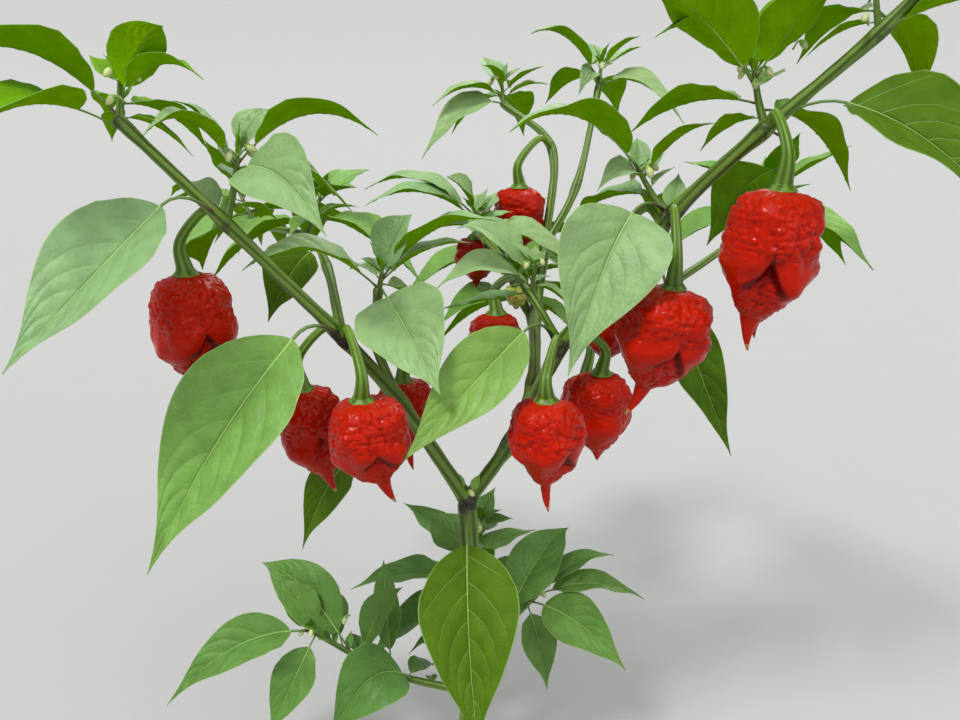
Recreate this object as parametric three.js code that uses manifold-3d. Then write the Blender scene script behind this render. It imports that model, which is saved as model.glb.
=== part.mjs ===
// A chilli pepper plant with ripe red pods: a forked stem, limbs, leafy shoots, large leaves and pods.
// Millimetres, +Z up, and -Y is the front. The origin is the middle of the main stem's flat foot.
// A turn is an angle in degrees round the plant from +X towards +Y, and a rise is an angle above the level.
import * as THREE from "three";
import { mergeVertices } from "three/addons/utils/BufferGeometryUtils.js";
import Module from "manifold-3d";

const wasm = await Module();
wasm.setup();

// Driving dimensions
const GAP = 0.3; // clearance between neighbouring pieces
const FORK_HEIGHT = 175;
const FOOT_RADIUS = 5.8; // of the main stem just above its root flare
const FLARE_RADIUS = 9.5; // of the root flare at the ground
const FLARE_HEIGHT = 9;
const FORK_RADIUS = 4.5;
const JOINT_SWELL = 0.3; // how much thicker a limb is at its joints, as a share of its radius
const JOINT_SPREAD = 0.16; // how far the swelling spreads, as a share of the stretch between two joints
const TWIG_TAPER = 0.45; // how much thinner a shoot's stem gets from its root to its crown
const TWIG_SAG = 0.08; // how far a shoot's stem sags, as a share of its length
const LEAF_FOLD = 24; // degrees that each half of a blade stands up from its midrib
const LEAF_SLENDER = 60; // a blade is this many times longer than it is thick
const LEAF_LEAST_THICKNESS = 0.8;
const LEAF_STALK_SLENDER = 75; // a blade is this many times longer than its stalk's radius
const LEAF_LEAST_STALK = 0.6;
const BIG_LENGTH = 60; // a blade longer than this is cut into more rows
const CALYX_RADIUS = 5.2;
const CALYX_HEIGHT = 1.6;
const POD_STALK_RADIUS = 1.6; // where a pod's stalk leaves its limb
const POD_STALK_FLARE = 1.2; // how much thicker the stalk gets down to the calyx, as a share of its radius
const POD_STALK_TOP = 0.4; // where the stalk is highest, as a share of the way out to the pod
const POD_STALK_SWING = 1.04; // how far out the stalk swings before it comes down, as such a share
const POD_TAIL = 0.055; // radius halfway down a pod's tail, as a share of the pod's width
const POD_TIP_RADIUS = 0.4;
const LOBES = 3;
const LOBE_DEPTH = 0.1; // of the folds between a pod's lobes, as a share of its radius
const LOBE_TURN = 1.7; // radians from one pod's lobes to the next pod's

// How round things are cut into flats and rows
const STEM_SIDES = 8;
const STEM_ROWS = [0, 5, 14, 30, 60, 90, 120, 145, 160, 170, FORK_HEIGHT + 3]; // heights
const TWIG_SIDES = 5;
const POD_SIDES = 8;
const LEAF_SIDES = 4;
const LIMB_STEPS = 4; // rows to each stretch between two joints
const ROOM_STEPS = 12; // spots to each such stretch, where the limb's room is kept
const TWIG_STEPS = 4;
const POD_STALK_STEPS = 5;
const BIG_ROWS = [0.1, 0.28, 0.5, 0.72, 0.88]; // shares of a long blade
const SMALL_ROWS = [0.25, 0.62];
const FIRST_ACROSS = new THREE.Vector3(0.8, 0.6, 0); // where the first flat of a round piece faces

// The seeded rule of a shoot's leaves. Their age falls from 1 at the foot of the shoot to nearly 0.
const GOLDEN_SHARE = 0.381966; // of a whole turn, from one leaf to the next
const SPIRAL_JITTER = 0.08;
const YOUNG_LENGTH = 0.45; // of the youngest leaf, as a share of the oldest's
const LENGTH_RANGE = [0.85, 1.15];
const WIDTH_RANGE = [0.4, 0.48]; // of a leaf, as shares of its length
const LEAFY_SHARE = 0.6; // the upper share of the stem, which carries the leaves
const CROWN_RISE = 50; // degrees above the level, of the youngest leaf
const RISE_FALL = 85; // degrees that the oldest leaf droops below that
const RISE_JITTER = 20;
const TILT_JITTER = 30;
const ARCH_SHARE = 0.3; // of the oldest leaf's length
const SPOT_SHARES = [0.14, 0.35, 0.55, 0.75, 0.95]; // along a leaf, where its room is kept
const SPOT_WIDTH = 0.36; // radius of that room as a share of the leaf's width, because a leaf is flat
const STALK_ROOM = 1; // radius of the room along a leaf's stalk

// The joints of the stem and limbs, where everything branches
const JOINTS = {
  ground: [0, 0, 0],
  ankle: [1, 1, 62],
  knee: [1, 1, 92],
  shin: [2, 2, 138],
  fork: [0, 0, FORK_HEIGHT],
  left1: [-30, -8, 229],
  left2: [-52, -18, 262],
  left3: [-91, -34, 312],
  left4: [-122, -44, 350],
  inner1: [-41, 2, 254],
  inner2: [-38, -2, 278],
  far1: [-64, 20, 284],
  far2: [-80, 54, 292],
  far3: [-114, 96, 290],
  right1: [41, -8, 255],
  right2: [82, -20, 313],
  right3: [111, -34, 347],
  right4: [143, -44, 379],
  right5: [166, -50, 408],
  rein1: [28, 4, 275],
  rein2: [9, 58, 290],
  side1: [92, 26, 272],
  side2: [140, 62, 292],
  back0: [20, 4, 203],
  back1: [32, 30, 224],
  back2: [35, 60, 252],
  back3: [41, 85, 282],
  back4: [45, 108, 330],
  backleft: [19, 124, 353],
  backright1: [58, 98, 312],
  backright: [72, 130, 362],
  low1: [34, 88, 240],
  low2: [24, 132, 258],
};

// Each limb runs through its joints and tapers from its first radius to its last.
const LIMBS = [
  { name: "limb_left_lower", through: ["fork", "left1", "left2"], from: 3.2, to: 2.8 },
  { name: "limb_left_upper", through: ["left2", "left3", "left4"], from: 2.6, to: 1.9 },
  { name: "limb_left_inner", through: ["left1", "inner1", "inner2"], from: 2.2, to: 1.7 },
  { name: "limb_left_back", through: ["left2", "far1", "far2", "far3"], from: 2.2, to: 1.5 },
  { name: "limb_right_lower", through: ["fork", "back0", "right1"], from: 3.3, to: 3.0 },
  { name: "limb_right_middle", through: ["right1", "right2", "right3"], from: 2.9, to: 2.6 },
  { name: "limb_right_upper", through: ["right3", "right4", "right5"], from: 2.4, to: 1.8 },
  { name: "limb_right_inner", through: ["right1", "rein1", "rein2"], from: 1.9, to: 1.4 },
  { name: "limb_right_back", through: ["right1", "side1", "side2"], from: 2.2, to: 1.6 },
  { name: "limb_back_lower", through: ["back0", "back1", "back2", "back3"], from: 2.9, to: 2.6 },
  { name: "limb_back_left", through: ["back3", "back4", "backleft"], from: 2.3, to: 1.7 },
  { name: "limb_back_right", through: ["back3", "backright1", "backright"], from: 2.2, to: 1.6 },
  { name: "limb_back_low", through: ["back1", "low1", "low2"], from: 2.1, to: 1.6 },
];

// The pods. hang is the middle of the shoulder, lean is how far the tip drifts sideways for each mm of its
// length, arch is how high the stalk rises above its root, and a blunt of 1 keeps the pod wide to its end.
const PODS = [
  {
    name: "pod_left_outer", root: "left3", hang: [-110, -30, 292],
    long: 41, wide: 31, tail: 2, lean: 0.03, arch: 5, blunt: 1,
  },
  {
    name: "pod_left_front", root: "left2", hang: [-41, -44, 244],
    long: 35, wide: 32, tail: 9, lean: 0.2, arch: 6, blunt: 0.2,
  },
  {
    name: "pod_left_second", root: "left2", hang: [-70, -20, 240],
    long: 39, wide: 28, tail: 9, lean: 0.2, arch: 4, blunt: 0.4,
  },
  {
    name: "pod_left_inner", root: "inner1", hang: [-31, 20, 229],
    long: 36, wide: 28, tail: 10, lean: 0.05, arch: 4, blunt: 0,
  },
  {
    name: "pod_right_low", root: "right1", hang: [33, -36, 241],
    long: 38, wide: 30, tail: 12, lean: 0.02, arch: 6, blunt: 0,
  },
  {
    name: "pod_right_second", root: "right1", hang: [62, 8, 237],
    long: 38, wide: 29, tail: 5, lean: 0, arch: 5, blunt: 0.4,
  },
  {
    name: "pod_right_inner", root: "rein1", hang: [14, 40, 257],
    long: 33, wide: 25, tail: 9, lean: -0.05, arch: 5, blunt: 0.3,
  },
  {
    name: "pod_right_hidden", root: [80, -17, 308], hang: [68, 26, 271],
    long: 32, wide: 26, tail: 8, lean: -0.05, arch: 5, blunt: 0.2,
  },
  {
    name: "pod_right_middle", root: "right2", hang: [81, -37, 288],
    long: 40, wide: 36, tail: 12, lean: -0.22, arch: 3, blunt: 0.2,
  },
  {
    name: "pod_right_upper", root: "right3", hang: [114, -50, 327],
    long: 46, wide: 34, tail: 13, lean: -0.13, arch: 5, blunt: 0.5,
  },
  {
    name: "pod_back_upper", root: "back4", hang: [27, 92, 312],
    long: 32, wide: 27, tail: 8, lean: 0, arch: 6, blunt: 0.2,
  },
  {
    name: "pod_back_left", root: [9.5, 57, 287], hang: [4, 80, 287],
    long: 22, wide: 21, tail: 3, lean: 0, arch: 2, blunt: 0.2,
  },
  {
    name: "pod_right_back", root: [136, 59, 290], hang: [143, 45, 280],
    long: 29, wide: 24, tail: 7, lean: 0, arch: 4, blunt: 0.3,
  },
  {
    name: "pod_far_back", root: "low1", hang: [68, 104, 200],
    long: 34, wide: 28, tail: 10, lean: 0, arch: 5, blunt: 0.1,
  },
];

// The large leaves that grow straight from a joint. stalk is the way from the joint to the blade's foot. The
// blade has its turn, rise, length, width and arch, and tilt turns its upper face from the sky to the front.
const BIG_LEAVES = [
  {
    name: "leaf_left_outer", root: "left3", stalk: [-17, -18, 9],
    turn: -131, rise: -38, long: 77, wide: 42, arch: 2, tilt: 42,
  },
  {
    name: "leaf_left_tip", root: [-117, -43, 343], stalk: [-14, -11, 11],
    turn: -118, rise: -11, long: 44, wide: 34, arch: 11, tilt: 8,
  },
  {
    name: "leaf_left_under", root: "far1", stalk: [-8, 4, 6],
    turn: -155, rise: -55, long: 38, wide: 32, arch: 8, tilt: 40,
  },
  {
    name: "leaf_left_front", root: "left2", stalk: [-16, -20, 5],
    turn: -140, rise: -50, long: 104, wide: 50, arch: 7, tilt: 55,
  },
  {
    name: "leaf_left_behind", root: "left3", stalk: [-4, 14, -2],
    turn: 129, rise: -36, long: 42, wide: 35, arch: 7, tilt: 35,
  },
  {
    name: "leaf_fork_front", root: "fork", stalk: [0, -17, -14],
    turn: -84, rise: -55, long: 88, wide: 50, arch: 5, tilt: 0,
  },
  {
    name: "leaf_under_pods", root: "left1", stalk: [-28, 26, -41],
    turn: 172, rise: -62, long: 61, wide: 24, arch: 12, tilt: 60,
  },
  {
    name: "leaf_right_low", root: [38, -8, 257], stalk: [-14, -16, 9],
    turn: -150, rise: -39, long: 73, wide: 33, arch: 3, tilt: 52,
  },
  {
    name: "leaf_right_middle", root: [79, -20, 315], stalk: [-15, -14, 1],
    turn: -138, rise: -60, long: 67, wide: 47, arch: 16, tilt: 68,
  },
  {
    name: "leaf_right_outer", root: "right3", stalk: [23, -14, 9],
    turn: -41, rise: -33, long: 66, wide: 48, arch: 12, tilt: 36,
  },
  {
    name: "leaf_right_hanging", root: [85, -21, 317], stalk: [6, 23, -46],
    turn: 10, rise: -65, long: 85, wide: 26, arch: 8, tilt: 70,
  },
  {
    name: "leaf_right_behind", root: "right3", stalk: [15, 30, -18],
    turn: 145, rise: -54, long: 42, wide: 32, arch: 12, tilt: 60,
  },
];

// The leafy shoots. Each has one stem from its root to its crown, and its placed leaves are rows of
// [share of the stem, turn, rise, length, width, arch, tilt]. A seeded rule adds the number in more round
// it: their turns are spread over arc degrees about toward, and size is the length of the longest.
const SHOOTS = [
  {
    name: "shoot_left_tip", root: "left4", crown: [-120, -43, 364], thick: 1.7,
    more: 4, size: 46, toward: 80, arc: 150, seed: 3,
    leaves: [
      [0.1, -147, 18, 54, 34, 26, -8], [0.4, -21, 48, 35, 21, 13, -40], [0.5, -11, 13, 34, 15, 18, -12],
      [0.9, 165, 40, 15, 10, 0, 20],
    ],
  },
  {
    name: "shoot_left_upper", root: "left3", crown: [-86, -27, 336], thick: 1.8,
    more: 4, size: 50, toward: 90, arc: 120, seed: 5,
    leaves: [
      [0.85, -139, 22, 36, 20, 23, 5], [0.9, -179, 47, 32, 10, 11, 0], [1, 32, 52, 22, 16, 7, 30],
      [0.9, 10, 11, 55, 26, 26, -10], [0.85, -38, -23, 53, 32, 18, 60], [0.7, 34, -18, 51, 20, 22, 20],
      [0.05, 138, 8, 42, 16, 15, 10],
    ],
  },
  {
    name: "shoot_left_inner", root: "inner2", crown: [-36, -3, 287], thick: 1.5,
    more: 3, size: 44, toward: 90, arc: 100, seed: 7,
    leaves: [
      [0.1, -156, 13, 58, 20, 25, 12], [0.3, -61, -28, 66, 43, 4, 60], [0.7, -20, 61, 32, 24, 9, 35],
      [0.6, -19, 28, 60, 22, 19, 0], [0.5, -2, 24, 43, 14, 11, 5], [0.9, -138, 38, 13, 10, 0, 20],
    ],
  },
  {
    name: "shoot_right_inner", root: "rein1", crown: [30, 2, 288], thick: 1.3,
    more: 1, size: 30, toward: 20, arc: 60, seed: 9,
    leaves: [
      [0.3, -152, 6, 46, 18, 19, 30], [0.5, 165, 33, 41, 20, 18, 20], [0.9, -2, 60, 10, 9, 0, 20],
      [0.1, 154, -16, 47, 12, 0, 10],
    ],
  },
  {
    name: "shoot_middle", root: "rein2", crown: [4, 62, 302], thick: 1.4,
    more: 7, size: 56, toward: 90, arc: 200, seed: 11,
    leaves: [[0.7, -169, 10, 57, 18, 21, 10], [0.8, 165, 12, 62, 16, 24, 10], [1, -151, 49, 25, 22, 7, 20]],
  },
  {
    name: "shoot_right_middle", root: "right2", crown: [70, -12, 329], thick: 1.8,
    more: 4, size: 50, toward: 90, arc: 130, seed: 13,
    leaves: [
      [0.9, -152, 17, 65, 26, 28, -6], [0.8, -152, -5, 24, 15, 13, 30], [0.9, -28, 39, 34, 16, 10, 0],
      [1, 95, 61, 15, 10, 3, 20], [0, 67, 56, 19, 11, 0, 20],
    ],
  },
  {
    name: "shoot_right_upper", root: "right3", crown: [106, -30, 366], thick: 1.8,
    more: 5, size: 56, toward: 90, arc: 150, seed: 15,
    leaves: [
      [0.75, -150, 30, 67, 32, 13, -22], [0.8, -165, 21, 45, 18, 22, -5], [1, 116, 79, 23, 14, 0, 30],
      [0.9, -61, 45, 44, 26, 7, -20], [1, 47, 54, 38, 14, 6, 10],
    ],
  },
  {
    name: "shoot_right_tip", root: "right5", crown: [172, -50, 424], thick: 1.7,
    more: 9, size: 62, toward: 0, arc: 360, seed: 41,
    leaves: [],
  },
  {
    name: "shoot_right_side", root: "right4", crown: [140, -42, 396], thick: 1.4,
    more: 4, size: 46, toward: 110, arc: 150, seed: 19,
    leaves: [[0, -31, 7, 50, 22, 13, 10]],
  },
  {
    name: "shoot_back_left", root: "backleft", crown: [18, 126, 364], thick: 1.5,
    more: 8, size: 60, toward: 90, arc: 160, seed: 21,
    leaves: [
      [0, -157, -30, 56, 22, 22, 30], [0.4, -157, -6, 42, 15, 15, 5], [0.6, -150, 48, 19, 18, 8, 10],
      [0.6, -16, 31, 27, 12, 4, 5], [0.3, -5, 17, 26, 11, 7, 5],
    ],
  },
  {
    name: "shoot_back_right", root: "backright", crown: [73, 132, 373], thick: 1.5,
    more: 8, size: 60, toward: 80, arc: 160, seed: 23,
    leaves: [
      [0.3, -163, 30, 48, 19, 22, 5], [0.1, -15, -23, 52, 24, 22, 20], [0.5, -156, -34, 16, 14, 14, 40],
      [0.8, -24, 39, 28, 14, 7, 5],
    ],
  },
  {
    name: "shoot_back_middle", root: "low1", crown: [20, 98, 266], thick: 1.5,
    more: 9, size: 60, toward: 70, arc: 320, seed: 43,
    leaves: [],
  },
  {
    name: "shoot_left_back", root: "far2", crown: [-73, 66, 313], thick: 1.4,
    more: 10, size: 60, toward: 0, arc: 360, seed: 25,
    leaves: [],
  },
  {
    name: "shoot_far_left", root: "far3", crown: [-130, 115, 309], thick: 1.5,
    more: 12, size: 74, toward: 120, arc: 360, seed: 26,
    leaves: [],
  },
  {
    name: "shoot_far_back", root: "low2", crown: [15, 158, 277], thick: 1.6,
    more: 13, size: 80, toward: 90, arc: 360, seed: 27,
    leaves: [],
  },
  {
    name: "shoot_right_back", root: "side2", crown: [158, 84, 313], thick: 1.6,
    more: 12, size: 74, toward: 60, arc: 360, seed: 29,
    leaves: [],
  },
  {
    name: "shoot_low_left", root: "ankle", crown: [-82, 10, 93], thick: 2.2,
    more: 2, size: 34, toward: 90, arc: 60, seed: 31,
    leaves: [
      [1, -160, -19, 78, 28, 27, 35], [0.97, -132, -52, 54, 25, 2, 50], [0.35, -156, -28, 54, 38, 42, 50],
      [0.75, 152, 33, 69, 32, 22, 40], [0.95, 154, 51, 37, 20, 6, 35], [0.7, 6, 60, 48, 20, 14, 25],
      [0.85, -115, 42, 19, 10, 4, 30], [0.5, 100, 47, 59, 16, 18, 30], [0.8, 112, -5, 56, 18, 18, 20],
    ],
  },
  {
    name: "shoot_low_right", root: "knee", crown: [37, 30, 101], thick: 2.0,
    more: 2, size: 36, toward: 80, arc: 80, seed: 33,
    leaves: [
      [0.5, 44, 37, 63, 30, 22, 35], [0.9, 16, 23, 52, 15, 18, 10], [1, -12, 6, 57, 17, 16, 15],
      [0.9, -29, -23, 60, 30, 15, 50], [0.85, -17, -77, 55, 22, 9, 45],
    ],
  },
  {
    name: "shoot_stem_upper", root: "shin", crown: [6, 20, 152], thick: 1.4,
    more: 2, size: 26, toward: 90, arc: 80, seed: 37,
    leaves: [[0.3, 138, 20, 35, 24, 0, 35], [0.8, 57, -9, 21, 9, 0, 20], [1, -14, 14, 18, 8, 0, 20]],
  },
  {
    name: "shoot_low_back", root: "knee", crown: [-4, 72, 112], thick: 2.0,
    more: 13, size: 80, toward: 110, arc: 220, seed: 35,
    leaves: [],
  },
];

const STEM_COLOR = 0x5f8a3c;
const LEAF_COLOR = 0x5c9636;
const POD_COLOR = 0xc81e12;
const UP = new THREE.Vector3(0, 0, 1);

const spot = (place) => new THREE.Vector3(...(typeof place === "string" ? JOINTS[place] : place));
const radians = THREE.MathUtils.degToRad;
const lerp = THREE.MathUtils.lerp;

// A direction from its turn and rise.
function heading(turn, rise) {
  const level = Math.cos(radians(rise));
  const around = radians(turn);
  return new THREE.Vector3(level * Math.cos(around), level * Math.sin(around), Math.sin(radians(rise)));
}

// A smooth line through the given places.
const lineThrough = (places) => new THREE.CatmullRomCurve3(places.map(spot), false, "catmullrom", 0.5);

// A linear congruential generator: numbers from 0 to 1 that are the same on every run.
function seeded(seed) {
  const range = 2 ** 32;
  let state = seed * 7919 + 104729;
  return () => {
    state = (state * 1664525 + 1013904223) % range;
    return state / range;
  };
}

// The solid inside a closed geometry.
function solidOf(geometry) {
  geometry.deleteAttribute("normal");
  geometry.deleteAttribute("uv");
  const merged = mergeVertices(geometry, 1e-3);
  const corners = merged.index.array;
  const kept = [];
  for (let i = 0; i < corners.length; i += 3) {
    const [a, b, c] = corners.subarray(i, i + 3);
    if (a !== b && b !== c && c !== a) kept.push(a, b, c);
  }
  const vertProperties = merged.attributes.position.array;
  return new wasm.Manifold(new wasm.Mesh({ numProp: 3, vertProperties, triVerts: new Uint32Array(kept) }));
}

// A unit cylinder that is bent into shape: place gives where each point of its skin goes, from its row and
// its two offsets, which lie between -1 and 1.
function sweep(sides, rows, place) {
  const shape = new THREE.CylinderGeometry(1, 1, 1, sides, rows - 1);
  const skin = shape.attributes.position;
  for (let i = 0; i < skin.count; i++) {
    const row = Math.round((0.5 - skin.getY(i)) * (rows - 1));
    const point = place(row, skin.getX(i), skin.getZ(i));
    skin.setXYZ(i, point.x, point.y, point.z);
  }
  return solidOf(shape);
}

// The directions across and up at each point of a line, turned as little as the line allows.
function framesAlong(points) {
  const frames = [];
  points.forEach((point, i) => {
    const before = points[Math.max(i - 1, 0)];
    const after = points[Math.min(i + 1, points.length - 1)];
    const along = after.clone().sub(before).normalize();
    const guide = i ? frames[i - 1].across : FIRST_ACROSS;
    const across = guide.clone().addScaledVector(along, -guide.dot(along)).normalize();
    frames.push({ point, across, up: along.clone().cross(across) });
  });
  return frames;
}

// A point of the skin round a frame, at the two offsets times the radius.
const skinPoint = ({ point, across, up }, x, z, radius) =>
  point.clone().addScaledVector(across, x * radius).addScaledVector(up, z * radius);

// A round piece along a line, with its own radius at each point.
function rod(points, radii, sides) {
  const frames = framesAlong(points);
  return sweep(sides, points.length, (row, x, z) => skinPoint(frames[row], x, z, radii[row]));
}

const largestOf = (solid) => solid.decompose().sort((a, b) => b.volume() - a.volume())[0];

// The main stem: a root flare at the ground, then nearly straight up to the fork. Its rings are level, so
// that its foot is flat. grow makes it thicker.
function stemSolid(grow) {
  const line = lineThrough(["ground", "knee", "fork"]);
  const up = UP.clone().cross(FIRST_ACROSS);
  return sweep(STEM_SIDES, STEM_ROWS.length, (row, x, z) => {
    const height = STEM_ROWS[row];
    const point = line.getPoint(Math.min(1, height / FORK_HEIGHT)).setZ(height);
    const taper = lerp(FOOT_RADIUS, FORK_RADIUS, height / FORK_HEIGHT);
    const flare = (FLARE_RADIUS - FOOT_RADIUS) * Math.exp(-height / FLARE_HEIGHT);
    return skinPoint({ point, across: FIRST_ACROSS, up }, x, z, taper + flare + grow);
  });
}

// The points of a limb's line with their radii, with so many steps to each stretch between two joints.
function limbLine(limb, steps) {
  const line = lineThrough(limb.through);
  const spans = limb.through.length - 1;
  const points = [];
  const radii = [];
  for (let i = 0; i <= spans * steps; i++) {
    const share = i / (spans * steps);
    const fromJoint = Math.abs(share * spans - Math.round(share * spans)) / JOINT_SPREAD;
    points.push(line.getPoint(share));
    radii.push(lerp(limb.from, limb.to, share) * (1 + JOINT_SWELL * Math.exp(-(fromJoint ** 2))));
  }
  return { points, radii };
}

// A limb, or with grow the room that it takes with its clearance.
function limbSolid(limb, grow) {
  const { points, radii } = limbLine(limb, LIMB_STEPS);
  const end = points.at(-1);
  end.add(end.clone().sub(points.at(-2)).setLength(grow));
  return rod(points, radii.map((radius) => radius + grow), STEM_SIDES);
}

// The half width of a blade as a share of its greatest, from its foot at 0 to its tip at 1.
const bladeOutline = (t) => Math.sin(Math.PI * t ** 0.68) * (1 - 0.45 * t ** 2.5);

const BIG_STALK = 0.24; // share of a big leaf's line that is its stalk
const SMALL_STALK = 0.14;

// The point at share t of a leaf's line. A big leaf has its own stalk, which leads into its blade's arch.
function leafPoint(leaf, t) {
  const reach = heading(leaf.turn, leaf.rise).multiplyScalar(leaf.long);
  const foot = leaf.stalk ? leaf.at.clone().add(spot(leaf.stalk)) : leaf.at;
  const lift = (s) => 2 * s * (1 - s) * leaf.arch;
  const blade = (s) => foot.clone().addScaledVector(reach, s).addScaledVector(UP, lift(s));
  if (!leaf.stalk) return blade(t);
  if (t >= BIG_STALK) return blade((t - BIG_STALK) / (1 - BIG_STALK));
  const onward = blade(0.02).sub(foot).normalize();
  const bend = foot.clone().addScaledVector(onward, -0.5 * leaf.at.distanceTo(foot));
  return new THREE.QuadraticBezierCurve3(leaf.at, bend, foot).getPoint(t / BIG_STALK);
}

// A leaf: a square stalk that widens into a folded blade, as one closed skin.
function leafSolid(leaf) {
  const stalk = leaf.stalk ? BIG_STALK : SMALL_STALK;
  const stalkRows = leaf.stalk ? [0, stalk / 3, (2 * stalk) / 3, stalk] : [0, stalk];
  const bladeRows = leaf.long > BIG_LENGTH ? BIG_ROWS : SMALL_ROWS;
  const shares = [...stalkRows, ...bladeRows.map((t) => lerp(stalk, 1, t)), 1];
  const thick = Math.max(LEAF_LEAST_THICKNESS, leaf.long / LEAF_SLENDER);
  const stalkRadius = Math.max(LEAF_LEAST_STALK, leaf.long / LEAF_STALK_SLENDER);
  const facing = new THREE.Vector3(0, -Math.sin(radians(leaf.tilt)), Math.cos(radians(leaf.tilt)));
  const side = facing.cross(heading(leaf.turn, leaf.rise)).normalize();
  const fold = radians(LEAF_FOLD);
  return sweep(LEAF_SIDES, shares.length, (row, x, z) => {
    const t = shares[row];
    const point = leafPoint(leaf, t);
    if (t === 1) return point;
    const along = leafPoint(leaf, t + 0.01).sub(leafPoint(leaf, Math.max(0, t - 0.01))).normalize();
    const frame = { point, across: side, up: along.clone().cross(side) };
    if (t <= stalk) return skinPoint(frame, x, z, stalkRadius);
    const half = (leaf.wide / 2) * bladeOutline((t - stalk) / (1 - stalk));
    const rise = Math.abs(x) * half * Math.sin(fold) + z * (thick / 2);
    return skinPoint(frame, x * half * Math.cos(fold), rise, 1);
  });
}

// Rows of a pod: the share of its length, its radius as a share of its greatest, and what a blunt pod adds.
const POD_PROFILE = [
  [0.02, 0.52, 0], [0.08, 0.8, 0], [0.2, 0.97, 0], [0.38, 1, 0],
  [0.58, 0.94, 0.06], [0.75, 0.77, 0.18], [0.9, 0.47, 0.3], [1, 0.17, 0.2],
];

// The line that a pod's stalk follows, from its root over the top and down to the shoulder.
function podStalkLine(pod) {
  const root = spot(pod.root);
  const top = spot(pod.hang);
  const over = root.clone().lerp(top, POD_STALK_TOP).setZ(root.z + pod.arch);
  const drop = root.clone().lerp(top, POD_STALK_SWING).setZ((over.z + top.z) / 2);
  return lineThrough([pod.root, over.toArray(), drop.toArray(), pod.hang]);
}

// The point a distance below a pod's shoulder, where its lean grows towards its tip.
function podPoint(pod, distance) {
  const drift = pod.lean * distance * (0.5 + (0.5 * distance) / pod.long);
  return spot(pod.hang).add(new THREE.Vector3(drift, 0, -distance));
}

// A pod: its stalk flares into the green calyx, which carries the lobed body and the tail.
function podSolid(pod, index) {
  const stalk = podStalkLine(pod);
  const rows = [];
  for (let i = 0; i < POD_STALK_STEPS; i++) {
    const share = i / POD_STALK_STEPS;
    const radius = POD_STALK_RADIUS * (1 + POD_STALK_FLARE * share ** 3);
    rows.push({ point: stalk.getPoint(share), radius, lobed: 0 });
  }
  for (const share of [-0.75, 0.25]) {
    rows.push({ point: podPoint(pod, share * CALYX_HEIGHT), radius: CALYX_RADIUS, lobed: 0 });
  }
  for (const [share, width, fuller] of POD_PROFILE) {
    const radius = (pod.wide / 2) * (width + fuller * pod.blunt);
    rows.push({ point: podPoint(pod, CALYX_HEIGHT / 2 + share * pod.long), radius, lobed: share });
  }
  const end = pod.long + CALYX_HEIGHT;
  rows.push({ point: podPoint(pod, end + pod.tail / 2), radius: pod.wide * POD_TAIL, lobed: 0 });
  rows.push({ point: podPoint(pod, end + pod.tail), radius: POD_TIP_RADIUS, lobed: 0 });
  const frames = framesAlong(rows.map((row) => row.point));
  return sweep(POD_SIDES, rows.length, (row, x, z) => {
    const { radius, lobed } = rows[row];
    const lobe = 1 + LOBE_DEPTH * lobed * Math.cos(LOBES * Math.atan2(x, z) + index * LOBE_TURN);
    return skinPoint(frames[row], x, z, radius * lobe);
  });
}

// The line of a shoot's stem, which sags a little between its root and its crown.
function shootLine(shoot) {
  const root = spot(shoot.root);
  const crown = spot(shoot.crown);
  const bend = root.clone().lerp(crown, 0.5).addScaledVector(UP, -TWIG_SAG * root.distanceTo(crown));
  return lineThrough([shoot.root, bend.toArray(), shoot.crown]);
}

// The room that is taken, as round spots with a radius, so that seeded leaves can keep clear of it
const taken = [];

function take({ points, radii }) {
  points.forEach((point, i) => taken.push({ point, radius: radii[i] }));
}

function isClear({ points, radii }) {
  const apart = (point, radius, other) => point.distanceTo(other.point) > radius + other.radius;
  return points.every((point, i) => taken.every((other) => apart(point, radii[i], other)));
}

// The room along a leaf's blade.
function leafRoom(leaf) {
  return {
    points: SPOT_SHARES.map((t) => leafPoint(leaf, t)),
    radii: SPOT_SHARES.map((t) => (t > SMALL_STALK ? leaf.wide * SPOT_WIDTH * bladeOutline(t) : STALK_ROOM)),
  };
}

// The room down a pod from the bend of its stalk to its tip.
function podRoom(pod) {
  const stalk = podStalkLine(pod);
  const body = [0, 0.25, 0.5, 0.8].map((share) => podPoint(pod, share * pod.long));
  return {
    points: [stalk.getPoint(0.5), stalk.getPoint(0.8), ...body],
    radii: [CALYX_RADIUS, CALYX_RADIUS, pod.wide / 3, pod.wide / 2, pod.wide / 2, pod.wide / 3],
  };
}

// The placed leaves of a shoot.
function placedLeaves(shoot) {
  const line = shootLine(shoot);
  return shoot.leaves.map(([share, turn, rise, long, wide, arch, tilt]) => ({
    at: line.getPoint(share), turn, rise, long, wide, arch, tilt,
  }));
}

// The seeded leaves of a shoot, in a golden spiral: old, long and level at its foot, young and upright at
// its crown. A leaf that would touch what is there already is skipped.
function seededLeaves(shoot) {
  const line = shootLine(shoot);
  const random = seeded(shoot.seed);
  const found = [];
  for (let i = 0; i < 2 * shoot.more && found.length < shoot.more; i++) {
    const age = 1 - i / (2 * shoot.more);
    const spiral = (i * GOLDEN_SHARE + SPIRAL_JITTER * random()) % 1;
    const long = shoot.size * lerp(YOUNG_LENGTH, 1, age) * lerp(...LENGTH_RANGE, random());
    const leaf = {
      at: line.getPoint(1 - LEAFY_SHARE * age),
      turn: shoot.toward + shoot.arc * (spiral - 0.5),
      rise: CROWN_RISE - RISE_FALL * age + RISE_JITTER * (random() - 0.5),
      long,
      wide: long * lerp(...WIDTH_RANGE, random()),
      arch: long * ARCH_SHARE * age,
      tilt: TILT_JITTER * (random() - 0.5),
    };
    const room = leafRoom(leaf);
    if (!isClear(room)) continue;
    take(room);
    found.push(leaf);
  }
  return found;
}

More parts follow.
